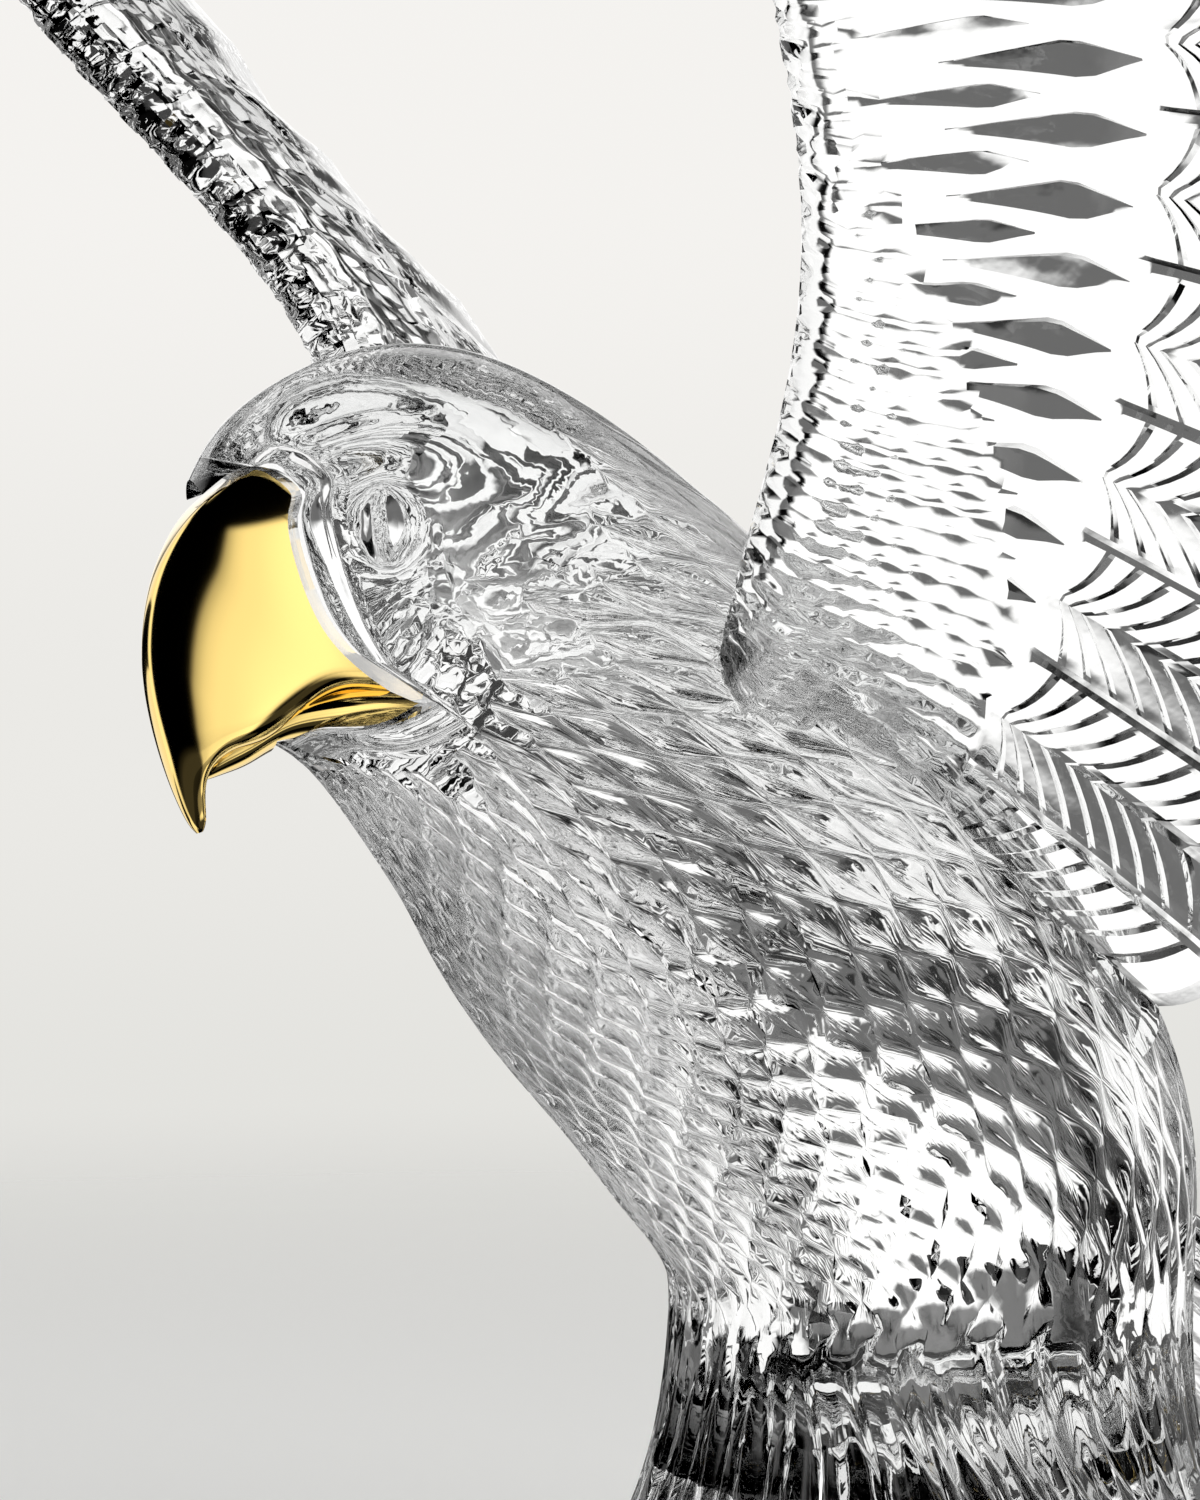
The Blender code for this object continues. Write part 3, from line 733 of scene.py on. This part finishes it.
def make_tail(material):
    """A fan of feathers: middle line + upward x half thickness - run x pull.

    Ridges thicken it along each feather, and the pull notches the ends between them."""
    across = np.linspace(-1, 1, TAIL_FEATHERS * TAIL_THREADS + 1)
    feather = (across + 1) / 2 * TAIL_FEATHERS
    within = 2 * np.abs(feather - np.floor(feather) - 0.5)
    across = np.concatenate([across, across[::-1]])[None]
    within = np.concatenate([within, within[::-1]])[None]
    face = np.where(np.arange(across.size) < across.size / 2, 1, -1)[None]
    along = np.linspace(0, len(TAIL) - 1, TAIL_RINGS)[:, None]
    share = along / (len(TAIL) - 1)
    row = curve_through(TAIL, along)
    middle, half_width, thickness = row[..., 0:2], row[..., 2], row[..., 3]
    run = unit(np.gradient(middle[:, 0], axis=0))[:, None]
    upward = np.stack([-run[..., 1], run[..., 0]], -1)
    edge_round = np.sqrt(np.clip(1 - across ** TAIL_SQUARENESS, TAIL_EDGE ** 2, 1))
    half = face * (thickness / 2 * edge_round + TAIL_RIDGE * share * (0.5 - within) * edge_round)
    pull = (TAIL_NOTCH * within ** 3 + TAIL_ROUNDING * across ** 2) * share ** 4
    side_view = middle + upward * half[..., None] - run * pull[..., None]
    side = half_width * across + 0 * share
    points = np.concatenate([side[..., None], side_view], -1)
    faces = tube_faces(*points.shape[:2])
    return make_piece("crystal_tail", points.reshape(-1, 3), faces, material, np.ones(len(faces)))


def melt_together(target, tools, operation, solver):
    """Boolean of the target with each tool, applied to the mesh; the tools are removed."""
    for tool in tools:
        step = target.modifiers.new(tool.name, "BOOLEAN")
        step.operation, step.solver, step.object = operation, solver, tool
    evaluated = target.evaluated_get(bpy.context.evaluated_depsgraph_get())
    mesh = bpy.data.meshes.new_from_object(evaluated)
    if not mesh.polygons:
        raise RuntimeError(f"nothing is left of {target.name}")
    target.modifiers.clear()
    target.data = mesh
    for tool in tools:
        bpy.data.objects.remove(tool)


def keep_crisp_edges(piece, angle):
    """Smooth shading, but for edges that turn by more than the angle beside a crisp face."""
    mesh = piece.data
    mesh.shade_smooth()
    mesh.set_sharp_from_angle(angle=angle)
    sharp = np.zeros(len(mesh.edges), bool)
    mesh.attributes["sharp_edge"].data.foreach_get("value", sharp)
    edge_of_corner = np.zeros(len(mesh.loops), np.int32)
    mesh.loops.foreach_get("edge_index", edge_of_corner)
    crisp, corners = np.zeros((2, len(mesh.polygons)), np.int32)
    mesh.polygons.foreach_get("material_index", crisp)
    mesh.polygons.foreach_get("loop_total", corners)
    beside = np.zeros(len(sharp), bool)
    beside[edge_of_corner[np.repeat(crisp, corners) == 1]] = True
    mesh.attributes["sharp_edge"].data.foreach_set("value", sharp & beside)
    mesh.polygons.foreach_set("material_index", np.zeros(len(crisp), np.int32))
    mesh.materials.pop()


# ---------------------------- beak

BEAK_RINGS = 90
BEAK_COLUMNS = 96
ROOF_RISE = 14             # steepness of the beak's rounded top
LEAST_DEPTH = 1e-6         # share of the depth that keeps the roof's limit above 0
LIP_PLACE = 0.955          # place and reach of the rolled lip, in shares of the depth
LIP_REACH = 0.016


def beak_rings(sections, rounded, lip_height):
    """Half sections swell from the top like a quarter ellipse and end in a crisp rolled lip; at
    the rear they have a slanted shelf under a flat roof.  Rounded sections are whole ellipses."""
    along = np.linspace(0, len(sections) - 1, BEAK_RINGS)[:, None]
    around = 2 * np.pi * np.arange(BEAK_COLUMNS)[None] / BEAK_COLUMNS
    row = curve_through(sections, along + 0 * around)
    top, bottom, half_width, shelved = row[..., 0:2], row[..., 2:4], row[..., 4], row[..., 5]
    depth = (1 - np.cos(around)) / 2
    roof = ROOF_RISE * np.sqrt(np.maximum(depth, LEAST_DEPTH))
    slant = ROOF_WIDTH + (SHELF_WIDTH - ROOF_WIDTH) * depth / SHELF_DEPTH
    wall = SHELF_WIDTH + (1 - SHELF_WIDTH) * (depth - SHELF_DEPTH) / (1 - SHELF_DEPTH)
    least = sum(limit ** -EDGE_SHARPNESS for limit in (roof, slant, wall))
    shelf = least ** (-1 / EDGE_SHARPNESS)
    ellipse = np.sqrt(1 - (1 - depth) ** 2)
    side = ellipse + np.clip(shelved, 0, 1) * (shelf - ellipse)
    lip = lip_height * np.exp(-((depth - LIP_PLACE) / LIP_REACH) ** 2) / half_width
    side = (side + lip) * np.sqrt(1 - depth ** LIP_SQUARENESS)
    if rounded:
        side = np.abs(np.sin(around)) + 0 * side
    side = side * np.sign(np.sin(around).round(6))      # exactly 0 on the middle line
    side_view = top + (bottom - top) * depth[..., None]
    points = np.concatenate([(half_width * side)[..., None], side_view], -1)
    return turn_head(points, 1.0)


def make_loft(name, rings, material):
    """A closed tube through rings of points."""
    return make_piece(name, rings.reshape(-1, 3), tube_faces(*rings.shape[:2]), material)


def make_beak(material, settings):
    """Both mandibles in one, trimmed to the notch less the clearance."""
    lip = settings.lip_height / MM
    beak = make_loft("gilt_beak_surface", beak_rings(UPPER_BEAK, False, lip), material)
    lower = make_loft("lower_mandible", beak_rings(LOWER_BEAK, True, lip), material)
    melt_together(beak, [lower], "UNION", "EXACT")
    notch = notch_line()
    run = unit(np.gradient(notch, axis=0))
    inward = notch + GAP * np.stack([run[:, 1], -run[:, 0]], -1)
    outline = inward.tolist() + UNDER_CHIN + BEHIND_FACE
    half = NOTCH_WIDTH / 2
    slab = np.array([[(x, y, z) for y, z in outline] for x in (-half, half)], float)
    guide = make_loft("face_guide", turn_head(slab, 1.0), material)
    melt_together(beak, [guide], "DIFFERENCE", "EXACT")
    return beak


# ---------------------------- finishes

# Noise cells to a metre: ripples of the crystal, clouds and waves of the gold, clouds of the floor
RIPPLE_SCALE, CLOUD_SCALE, WAVE_SCALE, FLOOR_SCALE = 260, 120, 90, 3.0
GOLD_WANDER, FLOOR_WANDER = 0.4, 0.08       # of the gold's roughness, and of the floor's
FLOOR_ROUGHNESS = 0.6


def shader_material(name, colour, roughness, metallic=0.0, index=1.5, transmission=0.0):
    """A new material with plain values on its shader's own sockets."""
    material = bpy.data.materials.new(name)
    material.use_nodes = True
    shader = material.node_tree.nodes["Principled BSDF"]
    shader.inputs["Base Color"].default_value = (*colour, 1)
    shader.inputs["Roughness"].default_value = roughness
    shader.inputs["Metallic"].default_value = metallic
    shader.inputs["IOR"].default_value = index
    shader.inputs["Transmission Weight"].default_value = transmission
    return material


def add_node(tree, kind, **values):
    """A new node with its sockets set, whose names have underscores here in place of spaces."""
    node = tree.nodes.new(kind)
    for socket, value in values.items():
        node.inputs[socket.replace("_", " ")].default_value = value
    return node


def add_noise(tree, scale, detail):
    """Noise over the object's own coordinates, from 0 to 1."""
    noise = add_node(tree, "ShaderNodeTexNoise", Scale=scale, Detail=detail)
    where = add_node(tree, "ShaderNodeTexCoord")
    tree.links.new(where.outputs["Object"], noise.inputs["Vector"])
    return noise.outputs["Fac"]


def add_clouds(material, middle, wander, scale, detail):
    """Lets the roughness wander about its middle value with a noise."""
    tree = material.node_tree
    clouds = add_node(tree, "ShaderNodeMapRange", To_Min=middle - wander, To_Max=middle + wander)
    tree.links.new(add_noise(tree, scale, detail), clouds.inputs["Value"])
    tree.links.new(clouds.outputs["Result"], tree.nodes["Principled BSDF"].inputs["Roughness"])


def add_ripples(material, height, scale):
    """Tilts the surface by a noise of the given height."""
    tree = material.node_tree
    bump = add_node(tree, "ShaderNodeBump", Distance=height)
    tree.links.new(add_noise(tree, scale, 2), bump.inputs["Height"])
    tree.links.new(bump.outputs["Normal"], tree.nodes["Principled BSDF"].inputs["Normal"])


def crystal_finish(settings):
    """Clear crystal whose hand polish leaves faint ripples."""
    material = shader_material("crystal", settings.colour, settings.roughness,
                               index=settings.index, transmission=1.0)
    add_ripples(material, settings.ripple, RIPPLE_SCALE)
    return material


def gilt_finish(settings):
    """Polished gold: its roughness wanders about the set value, over faint waves."""
    material = shader_material("gilt", settings.colour, settings.roughness, metallic=1.0)
    add_clouds(material, settings.roughness, settings.roughness * GOLD_WANDER, CLOUD_SCALE, 3)
    add_ripples(material, settings.waves, WAVE_SCALE)
    return material


# ---------------------------- stage

def rise_and_fall(begin, full, fading, gone):
    """A level that rises from 0 to 1 and falls again, as places and levels."""
    return [(begin, 0), (full, 1), (fading, 1), (gone, 0)]


# What the crystal and the gold see of the studio: patches by degrees round (0 is ahead of the
# bird, 90 to its left) and by degrees up.  A bright card stands in a dark frame with a grey shade,
# a black flag and a visor face it, and the room is lit but for dusk between the lit and key parts
CARD = rise_and_fall(-152, -145, -114, -107), rise_and_fall(-5, -1, 14, 18)
FRAME = rise_and_fall(-157, -154, -106, -103), rise_and_fall(-21, -18, 28, 31)
SHADE = FRAME[0], rise_and_fall(-14, -11, 24, 28)
FLAG = rise_and_fall(-62, -57, 1, 22), rise_and_fall(-35, -25, 30, 36)
VISOR = rise_and_fall(-40, -25, 50, 60), rise_and_fall(10, 15, 50, 56)
LIT = ([(-180, 0.9), (-170, 1), (-75, 1), (-55, 0), (105, 0), (118, 0.85), (160, 0.85), (180, 0.9)],
       rise_and_fall(-62, -50, 42, 55))
KEY = ([(-78, 0), (-70, 1.2), (-60, 1.2), (-55, 0), (6, 0), (14, 0.8), (32, 1.1), (58, 1.4),
        (72, 0)], rise_and_fall(-72, -64, 20, 26))
# Patches without dark veins: round the card, in front, at the back and below at the side
PLAIN = [(rise_and_fall(-148, -142, -118, -112), rise_and_fall(-80, -12, 22, 28)),
         (rise_and_fall(-72, -66, 62, 72), rise_and_fall(-80, -12, 22, 28)),
         ([(-160, 1), (-153, 0), (158, 0), (166, 1)], rise_and_fall(-18, -13, 48, 52)),
         (rise_and_fall(108, 118, 150, 158), rise_and_fall(-50, -44, -14, -9))]
CARD_LEVEL, FRAME_LEVEL, SHADE_LEVEL, ROOM_LEVEL, DUSK_LEVEL = 1.15, 0.03, 0.16, 1.1, 0.05
STUDIO_COLOUR = (1, 0.995, 0.985, 1)
VEIN_SCALE, VEIN_BEND = 0.75, 4.0
VEIN_LEVELS = [(0, 0.0), (0.28, 0.02), (0.40, 1)]
# Backdrop: place from low to high, 0.5 at the horizon, and colour
BACKDROP_SPREAD = 1.6
BACKDROP = [(0.0, (0.64, 0.635, 0.61)), (0.22, (0.715, 0.71, 0.68)), (0.36, (0.775, 0.77, 0.74)),
            (0.5, (0.83, 0.82, 0.79)), (0.72, (0.905, 0.89, 0.865)), (1.0, (0.92, 0.905, 0.88))]
FLOOR_RADIUS, FLOOR_RINGS, FLOOR_COLUMNS, FLOOR_DROP = 1600.0, 12, 64, 0.2
FADE_BEGINS, FADE_ENDS = 0.25, 1.3          # metres from the middle of the floor
SOFTBOX_SIZE, SOFTBOX_HEIGHT = 1.6, 1.7     # metres
CAMERA_TARGET, CAMERA_ROUND = (20.7, -82.7, 165), 50        # degrees from straight ahead
CAMERA_AWAY, CAMERA_NEAR = 0.625, 0.01      # metres
CAMERA_LENS, CAMERA_SENSOR = 100, 36


def make_world():
    """Plain pale backdrop for the camera; a bright card, a dark frame and flags for the rest."""
    world = bpy.data.worlds.new("studio")
    bpy.context.scene.world = world
    world.use_nodes = True
    tree = world.node_tree
    nodes, links = tree.nodes, tree.links
    nodes.clear()
    out = nodes.new("ShaderNodeOutputWorld")
    mix = nodes.new("ShaderNodeMixShader")
    seen = nodes.new("ShaderNodeBackground")
    lights = nodes.new("ShaderNodeBackground")
    path = nodes.new("ShaderNodeLightPath")
    links.new(path.outputs["Is Camera Ray"], mix.inputs[0])
    links.new(lights.outputs[0], mix.inputs[1])
    links.new(seen.outputs[0], mix.inputs[2])
    links.new(mix.outputs[0], out.inputs["Surface"])
    where = nodes.new("ShaderNodeTexCoord")
    split = nodes.new("ShaderNodeSeparateXYZ")
    links.new(where.outputs["Generated"], split.inputs[0])

    def math(kind, first, second=None):
        """A sum of two sockets or numbers, of the kind named."""
        node = nodes.new("ShaderNodeMath")
        node.operation = kind
        for socket, value in zip(node.inputs, (first, second)):
            if isinstance(value, (int, float)):
                socket.default_value = value
            elif value is not None:
                links.new(value, socket)
        return node.outputs[0]

    def ramp(value, stops):
        """Levels or colours that ease from stop to stop as the value rises."""
        node = nodes.new("ShaderNodeValToRGB")
        node.color_ramp.interpolation = "EASE"
        elements = node.color_ramp.elements
        elements.remove(elements[-1])
        elements[0].position = stops[0][0]
        for place, _ in stops[1:]:
            elements.new(place)
        for element, (_, level) in zip(elements, stops):
            element.color = (*level, 1) if isinstance(level, tuple) else (level, level, level, 1)
        links.new(value, node.inputs[0])
        return node.outputs[0]

    height = math("ADD", math("MULTIPLY", split.outputs[2], BACKDROP_SPREAD), 0.5)
    links.new(ramp(height, BACKDROP), seen.inputs["Color"])

    turned = math("ARCTAN2", split.outputs[0], math("MULTIPLY", split.outputs[1], -1.0))
    turned = math("ADD", math("DIVIDE", turned, 2 * np.pi), 0.5)
    raised = math("ADD", math("DIVIDE", math("ARCSINE", split.outputs[2]), np.pi), 0.5)

    def patch(levels):
        """The level round times the level up."""
        around = ramp(turned, [((at + 180) / 360, level) for at, level in levels[0]])
        up = ramp(raised, [((at + 90) / 180, level) for at, level in levels[1]])
        return math("MULTIPLY", around, up)

    def blend(first, second, share):
        """first x (1 - share) + second x share."""
        return math("ADD", math("MULTIPLY", first, math("SUBTRACT", 1.0, share)),
                    math("MULTIPLY", second, share))

    veins = add_node(tree, "ShaderNodeTexWave", Scale=VEIN_SCALE, Distortion=VEIN_BEND, Detail=1)
    veins.bands_direction = "Z"
    links.new(where.outputs["Generated"], veins.inputs["Vector"])
    gaps = ramp(veins.outputs["Color"], VEIN_LEVELS)
    for levels in PLAIN:
        gaps = math("MAXIMUM", gaps, patch(levels))
    level = ROOM_LEVEL
    for inside, levels in ((FRAME_LEVEL, FRAME), (SHADE_LEVEL, SHADE), (CARD_LEVEL, CARD)):
        level = blend(level, inside, patch(levels))
    level = blend(DUSK_LEVEL, level, math("MAXIMUM", patch(LIT), patch(KEY)))
    for levels in (FLAG, VISOR):
        level = blend(level, 0.0, patch(levels))
    links.new(math("MULTIPLY", level, gaps), lights.inputs["Strength"])
    lights.inputs["Color"].default_value = STUDIO_COLOUR


def make_floor(settings):
    """A round pale floor of rings (r cos a, r sin a), whose rim fades into the backdrop."""
    reach = FLOOR_RADIUS * (np.arange(1, FLOOR_RINGS + 1) / FLOOR_RINGS)[:, None]
    around = 2 * np.pi * np.arange(FLOOR_COLUMNS)[None] / FLOOR_COLUMNS
    low = 0 * reach * around - FLOOR_DROP
    points = np.stack([reach * np.cos(around), reach * np.sin(around), low], -1)
    faces = ring_faces(FLOOR_RINGS, FLOOR_COLUMNS).tolist() + [list(range(FLOOR_COLUMNS))]
    material = shader_material("floor", settings.floor_colour, FLOOR_ROUGHNESS)
    add_clouds(material, FLOOR_ROUGHNESS, FLOOR_WANDER, FLOOR_SCALE, 2)
    tree = material.node_tree
    nodes, links = tree.nodes, tree.links
    where = nodes.new("ShaderNodeTexCoord")
    distance = nodes.new("ShaderNodeVectorMath")
    distance.operation = "LENGTH"
    fade = add_node(tree, "ShaderNodeMapRange", From_Min=FADE_BEGINS, From_Max=FADE_ENDS)
    fade.interpolation_type = "SMOOTHSTEP"
    clear = nodes.new("ShaderNodeBsdfTransparent")
    mix = nodes.new("ShaderNodeMixShader")
    links.new(where.outputs["Object"], distance.inputs[0])
    links.new(distance.outputs["Value"], fade.inputs["Value"])
    links.new(fade.outputs["Result"], mix.inputs[0])
    links.new(nodes["Principled BSDF"].outputs[0], mix.inputs[1])
    links.new(clear.outputs[0], mix.inputs[2])
    links.new(mix.outputs[0], nodes["Material Output"].inputs["Surface"])
    floor = make_piece("floor", points.reshape(-1, 3), faces, material)
    floor.visible_transmission = floor.visible_glossy = False
    return floor


def make_softbox(settings):
    """A wide area light overhead that lights the floor; the crystal and the gold see the studio."""
    lamp = bpy.data.lights.new("softbox", "AREA")
    lamp.size, lamp.energy = SOFTBOX_SIZE, settings.softbox_power
    softbox = bpy.data.objects.new("softbox", lamp)
    bpy.context.scene.collection.objects.link(softbox)
    softbox.location = (0, 0, SOFTBOX_HEIGHT)
    softbox.visible_camera = softbox.visible_glossy = softbox.visible_transmission = False
    return softbox


def make_camera():
    """Level with the neck, off the bird's left cheek."""
    target = Vector(CAMERA_TARGET) * MM
    angle = np.radians(CAMERA_ROUND)
    camera = bpy.data.objects.new("camera", bpy.data.cameras.new("camera"))
    bpy.context.scene.collection.objects.link(camera)
    camera.location = target + Vector((np.sin(angle), -np.cos(angle), 0)) * CAMERA_AWAY
    camera.rotation_euler = (target - camera.location).to_track_quat("-Z", "Y").to_euler()
    camera.data.lens, camera.data.sensor_width = CAMERA_LENS, CAMERA_SENSOR
    camera.data.clip_start = CAMERA_NEAR
    bpy.context.scene.camera = camera


# ---------------------------- settings and operators

CRYSTAL_EDGE, GOLD_EDGE = np.radians(17), np.radians(35)      # turns that stay crisp
LENGTH = {"subtype": "DISTANCE", "unit": "LENGTH", "min": 0}


class CrystalSettings(bpy.types.PropertyGroup):
    """Sizes and finish of the crystal."""
    colour: FloatVectorProperty(name="Colour", description="Tint of the clear crystal",
                                subtype="COLOR", size=3, default=(0.985, 0.99, 0.99))
    roughness: FloatProperty(name="Roughness", description="Polish of the cut faces",
                             default=0.0, min=0, max=1)
    index: FloatProperty(name="Index", description="Refractive index of lead crystal",
                         default=1.52)
    ripple: FloatProperty(name="Ripple", default=0.00004, **LENGTH,
                          description="Height of the ripples left by hand polishing")
    oval_depth: FloatProperty(name="Oval depth", default=0.0012, **LENGTH,
                              description="Depth of the cut ovals of the breast")
    flute_depth: FloatProperty(name="Flute depth", default=0.0015, **LENGTH,
                               description="Depth of the flutes of the foot")
    eye_height: FloatProperty(name="Eye height", default=0.0015, **LENGTH,
                              description="Height of the eye over the cheek")
    wedge_depth: FloatProperty(name="Wedge depth", default=0.0022, **LENGTH,
                               description="Depth of the wing's wedge cuts")
    shaft_depth: FloatProperty(name="Shaft depth", default=0.0006, **LENGTH,
                               description="Depth of the line along a feather")
    barb_depth: FloatProperty(name="Barb depth", default=0.0006, **LENGTH,
                              description="Depth of the cuts beside the shafts")
    root_depth: FloatProperty(name="Root depth", default=0.0017, **LENGTH,
                              description="Depth of the small ovals at the wing's root")
    band_depth: FloatProperty(name="Band depth", default=0.0013, **LENGTH,
                              description="Depth of the cuts on the wing's leading edge")
    dish_size: FloatProperty(name="Dish size", default=0.008, **(LENGTH | {"min": 0.004}),
                             description="Width of the dishes inside the wings")
    seed: IntProperty(name="Seed", default=5,
                      description="Choice of the small hand-cut differences")


class GiltSettings(bpy.types.PropertyGroup):
    """Finish of the beak."""
    colour: FloatVectorProperty(name="Colour", description="Colour of the polished gold",
                                subtype="COLOR", size=3, default=(0.90, 0.66, 0.22))
    roughness: FloatProperty(name="Roughness", description="Polish of the gold",
                             default=0.07, min=0, max=1)
    waves: FloatProperty(name="Waves", default=0.00003, **LENGTH,
                         description="Height of the faint waves of the casting")
    lip_height: FloatProperty(name="Lip height", default=0.00035, **LENGTH,
                              description="Height of the rolled lip")


class StageSettings(bpy.types.PropertyGroup):
    """Floor, backdrop and light."""
    floor_colour: FloatVectorProperty(name="Floor", description="Colour of the plain floor",
                                      subtype="COLOR", size=3, default=(0.90, 0.90, 0.88))
    softbox_power: FloatProperty(name="Softbox", description="Power of the softbox overhead",
                                 subtype="POWER", unit="POWER", default=21.0, min=0)


class EAGLE_OT_crystal(bpy.types.Operator):
    """Build the crystal eagle: body, wings and tail melted into one"""
    bl_idname = "eagle.crystal"
    bl_label = "Crystal eagle"

    def execute(self, context):
        settings = context.scene.eagle_crystal
        rng = np.random.default_rng(settings.seed)
        material = crystal_finish(settings)
        eagle = make_body(rng, material, settings)
        eagle.name = "cut_crystal_eagle"
        limbs = [make_wing(name, mirror, rng, material, settings)
                 for name, mirror in (("wing_left", 1), ("wing_right", -1))]
        limbs.append(make_tail(material))
        melt_together(eagle, limbs, "UNION", "MANIFOLD")
        keep_crisp_edges(eagle, CRYSTAL_EDGE)
        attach(eagle, "root")
        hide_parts("crystal_eagle")
        return {"FINISHED"}


class EAGLE_OT_beak(bpy.types.Operator):
    """Build the gilt beak in its notch"""
    bl_idname = "eagle.beak"
    bl_label = "Gilt beak"

    def execute(self, context):
        settings = context.scene.eagle_gilt
        beak = make_beak(gilt_finish(settings), settings)
        beak.data.shade_smooth()
        beak.data.set_sharp_from_angle(angle=GOLD_EDGE)
        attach(beak, "root")
        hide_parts("gilt_beak")
        return {"FINISHED"}


class EAGLE_OT_stage(bpy.types.Operator):
    """Lay the pale floor, light the studio and place the camera"""
    bl_idname = "eagle.stage"
    bl_label = "Stage"

    def execute(self, context):
        settings = context.scene.eagle_stage
        make_world()
        make_floor(settings)
        make_softbox(settings)
        make_camera()
        context.scene.view_settings.view_transform = "Standard"
        return {"FINISHED"}


class EAGLE_PT_panel(bpy.types.Panel):
    """Lists the pieces and their settings"""
    bl_label = "Crystal eagle"
    bl_idname = "EAGLE_PT_panel"
    bl_space_type = "VIEW_3D"
    bl_region_type = "UI"
    bl_category = "Eagle"

    def draw(self, context):
        for settings, operator in SECTIONS_OF_PANEL:
            box = self.layout.box()
            group = getattr(context.scene, settings)
            for name in type(group).__annotations__:
                box.prop(group, name)
            box.operator(operator)


SECTIONS_OF_PANEL = [("eagle_crystal", "eagle.crystal"), ("eagle_gilt", "eagle.beak"),
                     ("eagle_stage", "eagle.stage")]
CLASSES = [CrystalSettings, GiltSettings, StageSettings, EAGLE_OT_crystal, EAGLE_OT_beak,
           EAGLE_OT_stage, EAGLE_PT_panel]


def register():
    for kind in CLASSES:
        bpy.utils.register_class(kind)
    bpy.types.Scene.eagle_crystal = PointerProperty(type=CrystalSettings)
    bpy.types.Scene.eagle_gilt = PointerProperty(type=GiltSettings)
    bpy.types.Scene.eagle_stage = PointerProperty(type=StageSettings)


def unregister():
    for name in ("eagle_crystal", "eagle_gilt", "eagle_stage"):
        delattr(bpy.types.Scene, name)
    for kind in reversed(CLASSES):
        bpy.utils.unregister_class(kind)


def main():
    register()
    bpy.ops.eagle.stage()
    bpy.ops.eagle.crystal()
    bpy.ops.eagle.beak()


if __name__ == "__main__":
    main()
